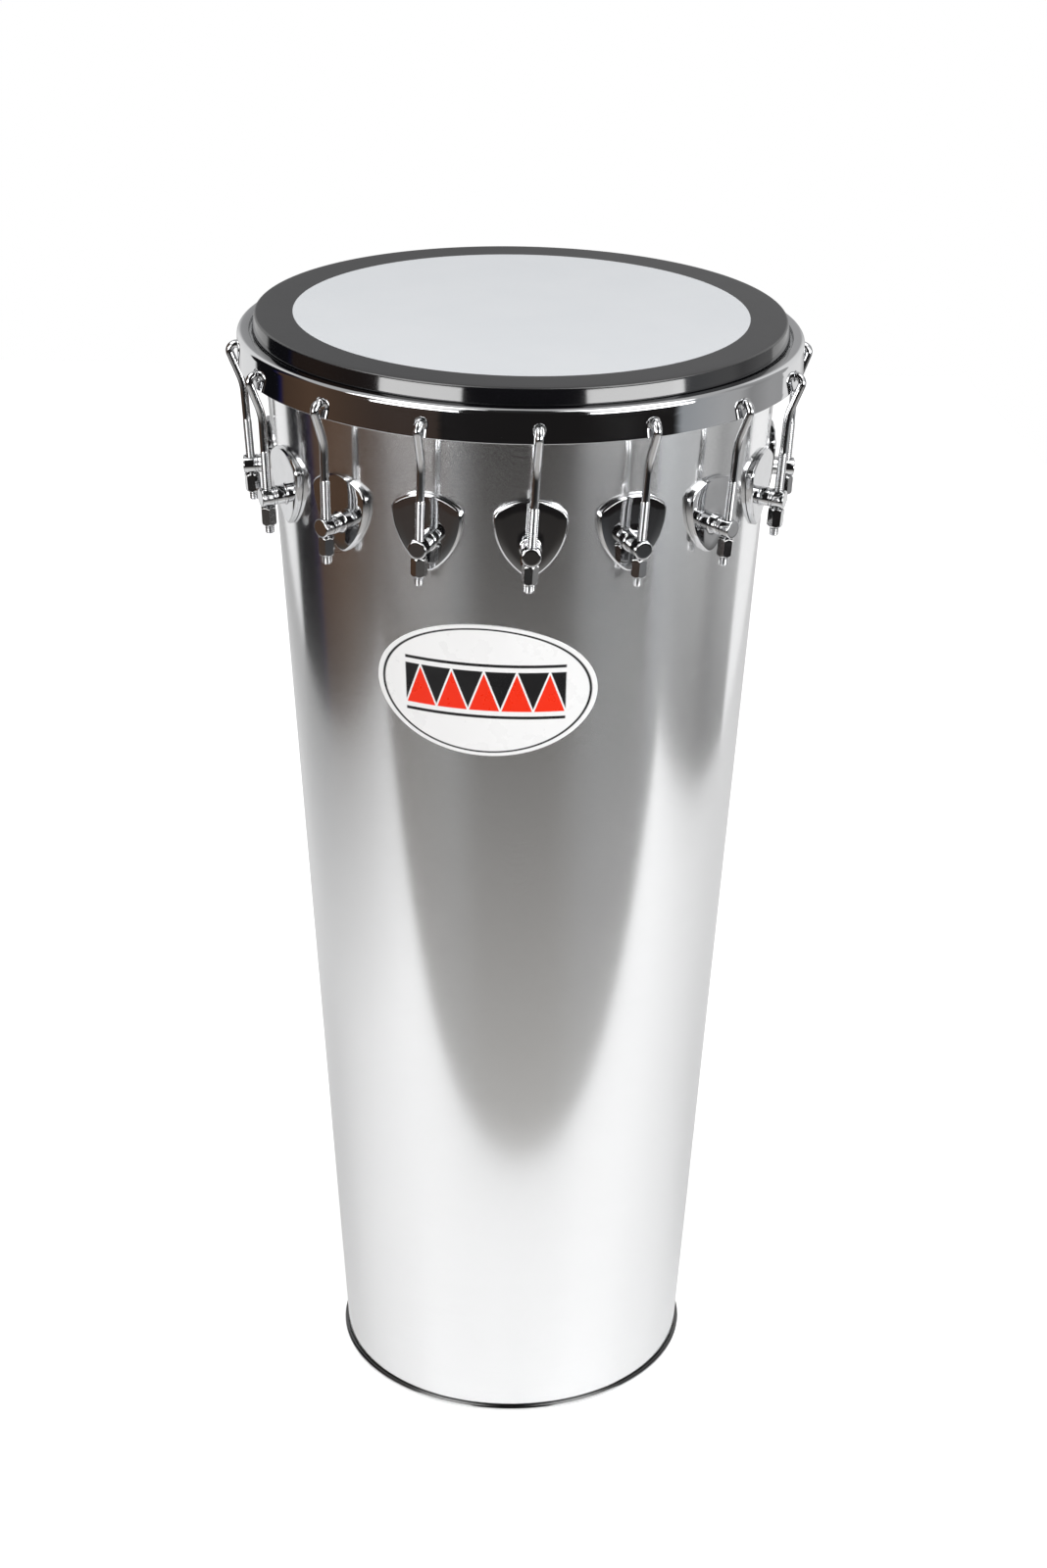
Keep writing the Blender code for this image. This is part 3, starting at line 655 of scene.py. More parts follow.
def coated_film():
    """The head's white middle: a sprayed coat with a fine grain on a smooth film."""
    finish = Finish("coated_film", (0.72, 0.74, 0.765), metallic=0.0, roughness=0.42, IOR=1.55)
    place = finish.place()
    marks = finish.use(HANDLING, Vector=place, Cloud_Size=0.06, Speck_Size=0.0016)
    grain = finish.noise(place, scale=FILM_GRAINS, detail=3.0)
    tone = finish.times_plus(marks["Cloud"], FILM_CLOUD_SHARE, finish.times(grain, FILM_GRAIN_SHARE))
    finish.shade(
        Base_Color=finish.mixed(tone, *FILM_TONES),
        Roughness=finish.ranged(grain, *WIDE_NOISE, *FILM_ROUGHNESSES),
    )
    finish.bump(grain, FILM_GRAIN_DEPTH)
    return finish.material


def black_film():
    """The printed border and the collar: satin on top and glossy down the collar."""
    finish = Finish("black_film", BORDER_TONES[0][:3], metallic=0.0, roughness=0.25, IOR=1.85)
    place = finish.place()
    height = finish.parts(place)[2]
    marks = finish.use(HANDLING, Vector=place, Cloud_Size=0.03, Speck_Size=0.004)
    satin = finish.ranged(
        height, HEIGHT - GLOSS_BELOW, HEIGHT - SATIN_ABOVE, COLLAR_ROUGHNESS, SATIN_ROUGHNESS
    )
    finish.shade(
        Base_Color=finish.mixed(finish.times(marks["Specks"], DUST_SHARE), *BORDER_TONES),
        Roughness=finish.times_plus(marks["Cloud"], BORDER_SMUDGE, satin),
    )
    return finish.material


# The badge's print: colours, and measures as shares of the badge's half width and half height
BADGE_WHITE = (0.92, 0.92, 0.92, 1.0)
BADGE_BLACK = (0.008, 0.008, 0.009, 1.0)
BADGE_RED = (0.92, 0.030, 0.006, 1.0)
TRIANGLES_ACROSS = 7.0
BAND_REACH = 5.0 / TRIANGLES_ACROSS
BAND_HALF_HEIGHT = 0.30
RULE_LOW = 0.37
RULE_HIGH = 0.415
RIM_LINE_LOW = 0.925
RIM_LINE_HIGH = 0.95
PRINT_SOFTNESS = 0.006
TRIANGLE_SOFTNESS = 0.02
TRIANGLE_GAP = 0.06

# An odd number of half waves before the middle puts a red triangle's tip there
HALF_WAVES_BEFORE = 21.0


def printed_badge():
    """The badge's print, on its own map from -1 to 1 each way: a rim line, two rules and a band of triangles.

    A triangle wave along the band parts red triangles, tips up, from black ones, tips down.
    """
    finish = Finish("printed_badge", BADGE_WHITE[:3], metallic=0.0, roughness=0.30, IOR=1.5)
    across, up, _ = finish.parts(finish.add("ShaderNodeUVMap", uv_map="print").outputs[0])
    away = finish.maths("SQRT", finish.plus(finish.times(across, across), finish.times(up, up)))

    def step(value, edge, soft=PRINT_SOFTNESS):
        return finish.ranged(value, edge - soft, edge + soft)

    def between(value, low, high):
        return finish.minus(step(value, low), step(value, high))

    wave = finish.maths("PINGPONG", finish.times_plus(across, TRIANGLES_ACROSS, HALF_WAVES_BEFORE), 1.0)
    height = finish.times_plus(up, 1.0 / (2 * BAND_HALF_HEIGHT), 0.5)
    under = finish.minus(wave, height)
    band = between(up, -BAND_HALF_HEIGHT, BAND_HALF_HEIGHT)
    red = finish.times(step(under, TRIANGLE_GAP, TRIANGLE_SOFTNESS), band)
    black = finish.times(finish.minus(1.0, step(under, -TRIANGLE_GAP, TRIANGLE_SOFTNESS)), band)
    rules = finish.plus(between(up, RULE_LOW, RULE_HIGH), between(up, -RULE_HIGH, -RULE_LOW))
    inside = between(across, -BAND_REACH, BAND_REACH)
    colour = BADGE_WHITE
    for mask, ink in ((red, BADGE_RED), (black, BADGE_BLACK), (rules, BADGE_BLACK)):
        colour = finish.mixed(finish.times(mask, inside), colour, ink)
    marks = finish.use(HANDLING, Vector=finish.place(), Cloud_Size=0.02, Speck_Size=0.003)
    finish.shade(
        Base_Color=finish.mixed(between(away, RIM_LINE_LOW, RIM_LINE_HIGH), colour, BADGE_BLACK),
        Roughness=finish.ranged(marks["Cloud"], 0.0, 1.0, *VINYL_ROUGHNESSES),
    )
    return finish.material


ALUMINIUM = polished_aluminium()
MILL = mill_aluminium()
BAND_CHROME = chrome("band_chrome", (0.66, 0.665, 0.675), roughness=0.035, cloud_size=0.05)
LUG_CHROME = chrome("lug_chrome", (0.66, 0.665, 0.675), roughness=0.04, cloud_size=0.012)
ROD_CHROME = chrome("rod_chrome", (0.64, 0.645, 0.655), roughness=0.07, cloud_size=0.008)
NUT_CHROME = chrome("nut_chrome", (0.62, 0.62, 0.625), roughness=0.09, cloud_size=0.006)
WIRE = steel_wire()
FILM_WHITE = coated_film()
FILM_BLACK = black_film()
PRINT = printed_badge()


def make_shell():
    """The wall and its two outward rolls, one sheet thick: a closed profile turned about Z."""
    foot = (FOOT_ROLL_RADIUS, FOOT_ROLL)
    edge = (EDGE_ROLL_RADIUS, EDGE_ROLL_HEIGHT)
    start = math.pi - STEEPNESS
    end = 2.5 * math.pi
    foot_outside = arc(foot, FOOT_ROLL, start, end, ROLL_ROWS)
    foot_inside = arc(foot, FOOT_ROLL - SHEET, start, end, ROLL_ROWS)
    edge_outside = arc(edge, EDGE_ROLL, start, -0.5 * math.pi, ROLL_ROWS)
    edge_inside = arc(edge, EDGE_ROLL - SHEET, start, -0.5 * math.pi, ROLL_ROWS)
    outer_wall = run(edge_inside[0], foot_inside[0], WALL_ROWS)
    inner_wall = run(foot_outside[0], edge_outside[0], WALL_ROWS)
    profile = np.vstack([
        edge_inside[::-1], outer_wall, foot_inside, foot_outside[::-1], inner_wall, edge_outside])
    mesh = new_mesh("shell", skin(turned(profile), ends="joined"), sharp=50.0)
    piece("fine_shell", mesh, [ALUMINIUM, MILL], "drum_body", "shell_metal", "shell")
    rows = np.arange(len(profile))
    first = len(edge_inside) + len(outer_wall) + len(foot_inside) + len(foot_outside) - MILL_OVERLAP_ROWS
    inside_row = (rows >= first) & (rows < first + len(inner_wall) + 2 * MILL_OVERLAP_ROWS)
    mesh.polygons.foreach_set("material_index", np.repeat(inside_row, RING_STEPS).astype(np.int32))


def make_head():
    """One film turned about Z: a flat top, a rounded shoulder, a collar flared downward and a hem."""
    corner = (RIM_RADIUS - SHOULDER, HEIGHT - SHOULDER)
    hem_radius = FLESH_INNER_RADIUS + HEM_WIDTH
    side = COLLAR_FLARE
    top = [(r, HEIGHT) for r in np.linspace(HEAD_FIRST_RING, BORDER_RADIUS, HEAD_RINGS)]
    top += [(r, HEIGHT) for r in np.linspace(BORDER_RADIUS, corner[0], BORDER_RINGS)[1:-1]]
    outside = [*arc(corner, SHOULDER, math.pi / 2, side, SHOULDER_STEPS), (COLLAR_RADIUS, FLANGE_TOP)]
    outside += [(COLLAR_RADIUS, HEM_TOP + 2 * FILM), (COLLAR_RADIUS + 2 * FILM, HEM_TOP)]
    outside += [(hem_radius, HEM_TOP)]
    inside = [(hem_radius, HEM_BOTTOM), (COLLAR_RADIUS + FILM, HEM_BOTTOM)]
    inside += [(COLLAR_RADIUS - FILM, HEM_BOTTOM + 2 * FILM), (COLLAR_RADIUS - FILM, FLANGE_TOP)]
    inside += [*arc(corner, SHOULDER - FILM, side, math.pi / 2, SHOULDER_STEPS)]
    under = [(r, HEIGHT - FILM) for r, _ in top[::-1]]
    profile = np.array([*top, *outside, *inside, *under])
    mesh = new_mesh("head", skin(turned(profile)), sharp=60.0)
    piece("fine_head", mesh, [FILM_WHITE, FILM_BLACK], "tuning_hoop", "head_film", "drum_head")
    middle = np.empty(len(mesh.polygons) * 3)
    mesh.polygons.foreach_get("center", middle)
    middle = middle.reshape(-1, 3)
    border = np.hypot(middle[:, 0], middle[:, 1]) > BORDER_RADIUS
    mesh.polygons.foreach_set("material_index", border.astype(np.int32))


def hole_patch(radius, hole_radius):
    """One wall of the band with its hook holes, as a grid for each sector: (sectors, rings, steps, 3).

    Round each hole the grid runs from the hole's circle to the sector's own border: a point is
    (1 - s) circle(t) + s border(t), with t round the hole and s from 0 to 1.
    """
    half_span = math.pi / LUG_COUNT
    low = BAND_BOTTOM + EDGE_ROUND - HOOK_HOLE_HEIGHT
    high = FLANGE_TOP - BAND_SHOULDER - HOOK_HOLE_HEIGHT
    across = np.linspace(-half_span, half_span, SECTOR_STEPS + 1)
    upward = np.linspace(low, high, BAND_ROWS + 1)
    border = np.vstack([
        np.column_stack([np.full(BAND_ROWS, half_span), upward[:-1]]),
        np.column_stack([across[::-1][:-1], np.full(SECTOR_STEPS, high)]),
        np.column_stack([np.full(BAND_ROWS, -half_span), upward[::-1][:-1]]),
        np.column_stack([across[:-1], np.full(SECTOR_STEPS, low)]),
    ])
    angles = np.arctan2(border[:, 1], border[:, 0] * radius)
    circle = hole_radius * np.column_stack([np.cos(angles) / radius, np.sin(angles)])
    share = (np.linspace(0.0, 1.0, HOLE_RINGS) ** HOLE_RING_CROWDING)[:, None, None]
    flat = (1 - share) * circle + share * border
    turns = lug_azimuth(np.arange(LUG_COUNT)) + HOOP_TURN
    azimuth = flat[None, :, :, 0] + turns[:, None, None]
    height = np.broadcast_to(flat[None, :, :, 1] + HOOK_HOLE_HEIGHT, azimuth.shape)
    return np.stack([radius * np.cos(azimuth), radius * np.sin(azimuth), height], axis=-1)


def hole_wall(outer, inner):
    """The hole's wall: a small round leads in from the outer loop, and another out to the inner loop."""
    middle = (outer + inner) / 2
    axis = unit((outer - inner).mean(axis=1, keepdims=True))
    spoke = outer - outer.mean(axis=1, keepdims=True)
    spoke = unit(spoke - (spoke * axis).sum(axis=-1, keepdims=True) * axis)
    turn = np.linspace(0.0, math.pi / 2, HOLE_ROUND_ROWS)
    lead_in = [outer - EDGE_ROUND * (math.sin(a) * spoke + (1 - math.cos(a)) * axis) for a in turn]
    lead_out = [inner - EDGE_ROUND * (math.sin(a) * spoke - (1 - math.cos(a)) * axis) for a in turn[::-1]]
    return np.stack([*lead_in, middle - EDGE_ROUND * spoke, *lead_out], axis=1)


def welded(surface):
    """The surface with points that share a place made one, where places are compared on a fine grid."""
    points, quads, triangles = surface
    keys = np.round(points / WELD_DISTANCE).astype(np.int64)
    _, first, index = np.unique(keys, axis=0, return_index=True, return_inverse=True)
    index = index.reshape(-1)
    return points[first], index[quads], index[triangles]


def make_tension_hoop():
    """The chromed hoop: a drilled band, a rounded shoulder and an inward flange, all with eased edges."""
    steps = LUG_COUNT * SECTOR_STEPS
    start = float(lug_azimuth(0)) + HOOP_TURN - math.pi / LUG_COUNT
    hole = HOOK_HOLE_RADIUS + EDGE_ROUND
    outer = hole_patch(BAND_OUTER_RADIUS, hole)
    inner = hole_patch(BAND_INNER_RADIUS, hole)
    shoulder = (BAND_OUTER_RADIUS - BAND_SHOULDER, FLANGE_TOP - BAND_SHOULDER)
    inner_round = BAND_SHOULDER - BAND_THICKNESS
    corner = (BAND_INNER_RADIUS - inner_round, FLANGE_BOTTOM - inner_round)
    lip = (FLANGE_INNER_RADIUS + EDGE_ROUND, FLANGE_TOP - EDGE_ROUND)
    lip_under = (FLANGE_INNER_RADIUS + EDGE_ROUND, FLANGE_BOTTOM + EDGE_ROUND)
    top = np.vstack([
        arc(shoulder, BAND_SHOULDER, 0.0, math.pi / 2, BAND_SHOULDER_STEPS),
        arc(lip, EDGE_ROUND, math.pi / 2, math.pi, BAND_EDGE_STEPS),
        arc(lip_under, EDGE_ROUND, math.pi, 1.5 * math.pi, BAND_EDGE_STEPS),
        arc(corner, inner_round, math.pi / 2, 0.0, BAND_CORNER_STEPS),
        [(BAND_INNER_RADIUS, FLANGE_TOP - BAND_SHOULDER)],
    ])
    outer_low = (BAND_OUTER_RADIUS - EDGE_ROUND, BAND_BOTTOM + EDGE_ROUND)
    inner_low = (BAND_INNER_RADIUS + EDGE_ROUND, BAND_BOTTOM + EDGE_ROUND)
    bottom = np.vstack([
        arc(inner_low, EDGE_ROUND, math.pi, 1.5 * math.pi, BAND_EDGE_STEPS),
        arc(outer_low, EDGE_ROUND, 1.5 * math.pi, 2 * math.pi, BAND_EDGE_STEPS),
    ])
    skins = [skin(turned(profile, steps, start), ends="open") for profile in (top, bottom)]
    walls = hole_wall(outer[:, 0], inner[:, 0])
    for sector in range(LUG_COUNT):
        skins.append(skin(outer[sector], ends="open"))
        for grid in (inner[sector], walls[sector]):
            points, quads, triangles = skin(grid, ends="open")
            skins.append((points, quads[:, ::-1], triangles))
    mesh = new_mesh("hoop", welded(joined(*skins)), sharp=40.0)
    fix_normals(mesh)
    piece("fine_tension_hoop", mesh, [BAND_CHROME], "tuning_hoop", "chrome", "tension_hoop")


def fix_normals(mesh):
    """Merges a closed mesh's last double points and turns every face outward."""
    shape = bmesh.new()
    shape.from_mesh(mesh)
    bmesh.ops.remove_doubles(shape, verts=shape.verts, dist=WELD_DISTANCE)
    bmesh.ops.recalc_face_normals(shape, faces=shape.faces)
    shape.to_mesh(mesh)
    shape.free()


def rounded_corner(before, corner, after, radius):
    """Points of the arc that rounds a corner between two straight runs in a plane."""
    back = unit(before - corner)
    onward = unit(after - corner)
    half_turn = (math.pi - math.acos(float(back @ onward))) / 2
    start = corner + back * radius * math.tan(half_turn)
    centre = corner + unit(back + onward) * radius / math.cos(half_turn)
    arm = start - centre
    side = 1 if arm[0] * back[1] - arm[1] * back[0] < 0 else -1
    first = math.atan2(arm[1], arm[0])
    return arc(centre, radius, first, first + side * 2 * half_turn, BEND_STEPS)


def hook_route():
    """The hook's middle line in the (outward, up) plane, counted from the rod's crossing point."""

    def on_rod(distance):
        along = distance * math.cos(ROD_LEAN)
        return np.array([along * math.sin(STEEPNESS), along * math.cos(STEEPNESS)])

    def from_crossing(radius, height):
        return np.array([radius - CROSSING[0], height - CROSSING[2]])

    tip = from_crossing(COLLAR_RADIUS + HOOK_TIP_TO_COLLAR, HOOK_HEIGHT)
    band_edge = from_crossing(BAND_OUTER_RADIUS, BAND_BOTTOM)
    jog = on_rod((tip[1] - JOG_DOWN) / math.cos(STEEPNESS))
    past_edge = band_edge - jog
    clear_edge = math.asin((SHANK_RADIUS + GAP) / math.hypot(*past_edge))
    slant = math.tan(math.atan2(past_edge[0], past_edge[1]) + clear_edge)
    corner = np.array([jog[0] + slant * (tip[1] - jog[1]), tip[1]])
    end = on_rod(-(POST_RADIUS + GAP + NUT_LENGTH + TAIL))
    thread_top = on_rod(THREAD_ABOVE_POST)
    bend = rounded_corner(tip, corner, jog, HOOK_BEND_RADIUS)
    turn_in = rounded_corner(corner, jog, end, JOG_RADIUS)
    turns = float(np.linalg.norm(thread_top - end)) / THREAD_PITCH
    rows = int(round(turns * ROWS_PER_TURN))
    slant_run = run(bend[-1], turn_in[0], SLANT_RUN_STEPS)
    lead_run = run(turn_in[-1], thread_top, LEAD_RUN_STEPS)
    straight = np.vstack([tip, run(tip, bend[0], TIP_RUN_STEPS), bend, slant_run, turn_in, lead_run])
    threaded = np.vstack([thread_top, run(thread_top, end, rows), end])
    return straight, threaded


def carried(line, radii):
    """A tube round a line in the (outward, up) plane, each row a circle across the line.

    A point is line + r (cos a . across + sin a . sideways), where across is the line's normal in its plane.
    """
    along = unit(np.gradient(line, axis=0))
    across = np.column_stack([along[:, 1], -along[:, 0]])
    angles = full_turn(TUBE_STEPS)
    outward = line[:, :1] + radii * np.cos(angles) * across[:, :1]
    up = line[:, 1:] + radii * np.cos(angles) * across[:, 1:]
    sideways = radii * np.sin(angles) + 0 * line[:, :1]
    return np.stack([outward, sideways, up], axis=-1)


def hook_surface():
    """A hook from its tip to its threaded end, in the frame of its crossing point.

    Down the thread the radius is a triangle wave of distance / pitch - angle / turn, so it is a real helix.
    """
    straight, threaded = hook_route()
    line = np.vstack([straight, threaded])
    distance = np.concatenate([[0.0], np.cumsum(np.linalg.norm(np.diff(line, axis=0), axis=1))])
    angles = np.arange(TUBE_STEPS) / TUBE_STEPS
    phase = (distance[:, None] / THREAD_PITCH - angles[None, :]) % 1.0
    ridge = 1 - np.abs(2 * phase - 1)
    start = distance[len(straight)]
    fade_in = np.clip((distance[:, None] - start) / (THREAD_FADE_TURNS * THREAD_PITCH), 0.0, 1.0)
    on_thread = np.arange(len(line))[:, None] >= len(straight)
    to_end = distance[-1] - distance[:, None]
    root = THREAD_RADIUS - THREAD_DEPTH
    cut = SHANK_RADIUS + (root - SHANK_RADIUS) * fade_in
    crest = SHANK_RADIUS + (THREAD_RADIUS - SHANK_RADIUS) * fade_in
    thread = cut + (crest - cut) * np.minimum(THREAD_CREST_SHARE * ridge, 1.0)
    thread = np.minimum(thread, THREAD_RADIUS - TAIL_CHAMFER + to_end)
    radii = np.where(on_thread, thread, SHANK_RADIUS + 0 * phase)
    from_tip = np.clip(distance[:, None] / HOOK_TIP_ROUND, 0.0, 1.0)
    radii = radii - HOOK_TIP_ROUND * (1 - np.sqrt(np.clip(1 - (1 - from_tip) ** 2, 0.0, 1.0)))
    grid = carried(line, radii)
    lean = math.tan(ROD_LEAN) / math.cos(STEEPNESS)
    grid[..., 1] += lean * line[:, 1][:, None]
    return skin(grid)


def lug_matrix(index):
    """The frame of a lug: X along the wall's outward normal, Y round the drum and Z up the wall."""
    turn = Matrix.Rotation(lug_azimuth(index), 4, "Z")
    place = Matrix.Translation((wall_radius(LUG_HEIGHT), 0.0, LUG_HEIGHT))
    return turn @ place @ Matrix.Rotation(STEEPNESS, 4, "Y")


def crossing_matrix(index):
    return Matrix.Rotation(lug_azimuth(index), 4, "Z") @ Matrix.Translation(CROSSING)


def make_hooks():
    surface = hook_surface()
    for i in range(LUG_COUNT):
        name = f"hook_{i + 1:02d}"
        mesh = new_mesh(name, placed(surface, crossing_matrix(i)), sharp=45.0)
        piece(f"fine_{name}", mesh, [ROD_CHROME], "tuning_hoop", "chrome", name)


def plate_arcs():
    """Centre, radius and angle of each step round the plate's edge: three shallow arcs and three corners."""
    corners = np.array([
        (PLATE_CORNER_ACROSS, PLATE_CORNER_UP),
        (-PLATE_CORNER_ACROSS, PLATE_CORNER_UP),
        (0.0, -PLATE_TIP_DOWN),
    ])
    bulges = (PLATE_TOP_BULGE, PLATE_SIDE_BULGE, PLATE_SIDE_BULGE)
    sides = []
    for i, bulge in enumerate(bulges):
        start, end = corners[i], corners[(i + 1) % 3]
        chord = end - start
        length = math.hypot(*chord)
        outward = np.array([chord[1], -chord[0]]) / length
        radius = (length**2 / 4 + bulge**2) / (2 * bulge)
        centre = (start + end) / 2 + outward * (bulge - radius)
        middle = math.atan2(outward[1], outward[0])
        spread = math.asin(length / 2 / radius)
        sides.append((centre, radius + PLATE_CORNER_RADIUS, middle - spread, middle + spread))
    centres, radii, angles = [], [], []
    for i, (centre, radius, first, last) in enumerate(sides):
        steps = np.linspace(first, last, PLATE_ARC_STEPS + 1)
        centres.append(np.tile(centre, (len(steps), 1)))
        radii.append(np.full(len(steps), radius))
        angles.append(steps)
        turn = (sides[(i + 1) % 3][2] - last) % (2 * math.pi)
        steps = last + turn * np.arange(1, PLATE_CORNER_STEPS) / PLATE_CORNER_STEPS
        centres.append(np.tile(corners[(i + 1) % 3], (len(steps), 1)))
        radii.append(np.full(len(steps), PLATE_CORNER_RADIUS))
        angles.append(steps)
    return np.vstack(centres), np.concatenate(radii)[:, None], np.concatenate(angles)


def bevel_rows():
    """(inset, drop) down the plate's bevelled edge: the sums of (-cos a, sin a) ds as its normal turns by a.

    The normal turns quickly at both ends, over an eased edge, and slowly along the bevel itself.
    """
    angles = np.concatenate([
        np.linspace(0.0, BEVEL_LOW, EASE_STEPS + 1),
        np.linspace(BEVEL_LOW, BEVEL_HIGH, BEVEL_STEPS + 1)[1:],
        np.linspace(BEVEL_HIGH, math.pi / 2, EASE_STEPS + 1)[1:],
    ])
    eased = np.full(EASE_STEPS, BEVEL_EASE / EASE_STEPS)
    steps = np.concatenate([eased, np.full(BEVEL_STEPS, BEVEL_WIDTH / BEVEL_STEPS), eased])
    middle = (angles[1:] + angles[:-1]) / 2
    inward = np.concatenate([[0.0], np.cumsum(steps * np.cos(middle))])
    drop = np.concatenate([[0.0], np.cumsum(steps * np.sin(middle))])
    return np.column_stack([inward[-1] - inward, drop])


def lug_surface():
    """A lug in its own frame: one closed surface from the post's end over the plate to the screw's head.

    A row is the plate's edge drawn in by an inset, a circle, or a blend of the two, at a height along X.
    """
    centres, radii, angles = plate_arcs()
    spokes = directions(angles)

    def inset_ring(inset):
        return centres + (radii - inset) * spokes

    inner = inset_ring(PLATE_CORNER_RADIUS - PLATE_INSET_MARGIN)
    round_spokes = directions(np.arctan2(inner[:, 1], inner[:, 0]))
    curve_radius = wall_radius(LUG_HEIGHT) / math.cos(STEEPNESS)
    rows = []

    def put(ring, height):
        rows.append(np.column_stack([np.broadcast_to(height, len(ring)), ring]))

    front = GAP + PLATE_THICKNESS
    post_end = ROD_OFFSET + ROD_HOLE_RADIUS + POST_END_WALL
    profile = [(share * POST_RADIUS, post_end) for share in POST_END_SHARES]
    rim_centre = (POST_RADIUS - POST_RIM, post_end - POST_RIM)
    profile += [*arc(rim_centre, POST_RIM, math.pi / 2, 0.0, POST_RIM_STEPS)]
    profile += [(POST_RADIUS, ROD_OFFSET), (POST_RADIUS, front + GROOVES_UP[1] + 2 * GROOVE_WIDTH)]
    for up in GROOVES_UP[::-1]:
        for share in np.linspace(0.5, -0.5, GROOVE_ROWS):
            depth = GROOVE_DEPTH * math.cos(math.pi * share) ** 2
            profile.append((POST_RADIUS - depth, front + up + share * GROOVE_WIDTH))
    fillet = (POST_RADIUS + POST_FILLET, front + POST_FILLET)
    profile += [*arc(fillet, POST_FILLET, math.pi, 1.5 * math.pi, POST_FILLET_STEPS)]
    for radius, height in profile:
        put(radius * round_spokes, height)
    foot = (POST_RADIUS + POST_FILLET) * round_spokes
    for share in PLATE_FRONT_SHARES:
        put((1 - share) * foot + share * inner, front)
    put(inner, front)
    for inset, drop in bevel_rows():
        put(inset_ring(inset), front - drop)

    def back_height(ring):
        return GAP + np.sqrt(curve_radius**2 - ring[:, 0] ** 2) - curve_radius

    rim = inset_ring(0.0)
    put(rim, back_height(rim) + PLATE_BACK_EDGE)
    edge = inset_ring(PLATE_BACK_EDGE)
    put(edge, back_height(edge))
    for share in PLATE_BACK_SHARES:
        ring = share * edge + (1 - share) * SCREW_RADIUS * round_spokes
        put(ring, back_height(ring))
    washer_face = -SHEET - GAP - WASHER_RADIUS**2 / (2 * wall_radius(LUG_HEIGHT))
    head_face = washer_face - WASHER_THICKNESS
    last = head_face - SCREW_HEAD_HEIGHT
    stem = [
        (SCREW_RADIUS, GAP),
        (SCREW_RADIUS, washer_face),
        (WASHER_RADIUS - SCREW_EASE, washer_face),
        (WASHER_RADIUS, washer_face - SCREW_EASE),
        (WASHER_RADIUS, head_face + SCREW_EASE),
        (WASHER_RADIUS - SCREW_EASE, head_face),
        (SCREW_HEAD_RADIUS, head_face),
        (SCREW_HEAD_RADIUS, last + 4 * SCREW_EASE),
        (SCREW_HEAD_RADIUS - SCREW_EASE, last + 2 * SCREW_EASE),
        (SCREW_HEAD_RADIUS - 3 * SCREW_EASE, last),
    ]
    for radius, height in stem:
        put(radius * round_spokes, height)
    return skin(np.stack(rows))


def drilled(surface):
    """The lug with the rod's hole through its post, cut with a round cutter."""
    reach = 2 * POST_RADIUS
    grid = turned(np.array([(ROD_HOLE_RADIUS, -reach), (ROD_HOLE_RADIUS, reach)]), CUTTER_STEPS)
    place = Matrix.Translation((ROD_OFFSET, 0.0, 0.0)) @ Matrix.Rotation(-ROD_LEAN, 4, "X")
    cutter = in_scene("cutter", new_mesh("cutter", placed(skin(grid), place)))
    lug = in_scene("lug", new_mesh("lug", surface))
    cut = lug.modifiers.new("hole", "BOOLEAN")
    cut.operation = "DIFFERENCE"
    cut.object = cutter
    bpy.context.view_layer.update()
    graph = bpy.context.evaluated_depsgraph_get()
    mesh = bpy.data.meshes.new_from_object(lug.evaluated_get(graph))
    bpy.data.objects.remove(lug)
    bpy.data.objects.remove(cutter)
    return mesh


def make_lugs():
    """All lugs share one cut shape; each has its place in its own mesh."""
    shape = drilled(lug_surface())
    for i in range(LUG_COUNT):
        name = f"lug_{i + 1:02d}"
        mesh = shape.copy()
        mesh.transform(lug_matrix(i))
        mesh.shade_smooth()
        mesh.set_sharp_from_angle(angle=math.radians(SHARP_DEGREES))
        piece(f"fine_{name}", mesh, [LUG_CHROME], "drum_body", "chrome", name)


def nut_surface():
    """A long hex nut about Z: a hexagon's radius, a / cos(angle in the flat), cut by a cone at each end."""
    flat = ROD_HOLE_RADIUS + NUT_WALL
    steps = 6 * NUT_FLAT_STEPS
    angles = full_turn(steps)
    hexagon = flat / np.cos((angles % (math.pi / 3)) - math.pi / 6)
    half = NUT_LENGTH / 2
    face = flat - NUT_FACE_MARGIN
    corner = flat / math.cos(math.pi / 6)
    top = [(ROD_HOLE_RADIUS, half - NUT_BORE_CHAMFER), (ROD_HOLE_RADIUS + NUT_BORE_CHAMFER, half)]
    for share in np.linspace(0.0, 1.0, NUT_END_ROWS):
        top.append((np.minimum(hexagon, face + share * (corner - face)), half - share * NUT_CHAMFER))
    side_heights = np.linspace(half - NUT_SIDE_MARGIN, NUT_SIDE_MARGIN - half, NUT_SIDE_ROWS)
    side = [(hexagon, height) for height in side_heights]
    bottom = [(radius, -height) for radius, height in top[::-1]]
    rows = [
        np.column_stack([radius * np.cos(angles), radius * np.sin(angles), np.full(steps, height)])
        for radius, height in top + side + bottom
    ]
    return skin(np.stack(rows), ends="joined")


def make_nuts():
    surface = nut_surface()
    below_post = POST_RADIUS + GAP + NUT_LENGTH / 2
    for i in range(LUG_COUNT):
        place = (
            crossing_matrix(i)
            @ Matrix.Rotation(STEEPNESS, 4, "Y")
            @ Matrix.Rotation(-ROD_LEAN, 4, "X")
            @ Matrix.Translation((0.0, 0.0, -below_post))
            @ Matrix.Rotation(FIRST_NUT_SPIN + i * NUT_SPIN_STEP, 4, "Z")
        )
        name = f"nut_{i + 1:02d}"
        mesh = new_mesh(name, placed(surface, place), sharp=25.0)
        piece(f"fine_{name}", mesh, [NUT_CHROME], name, "chrome", name)


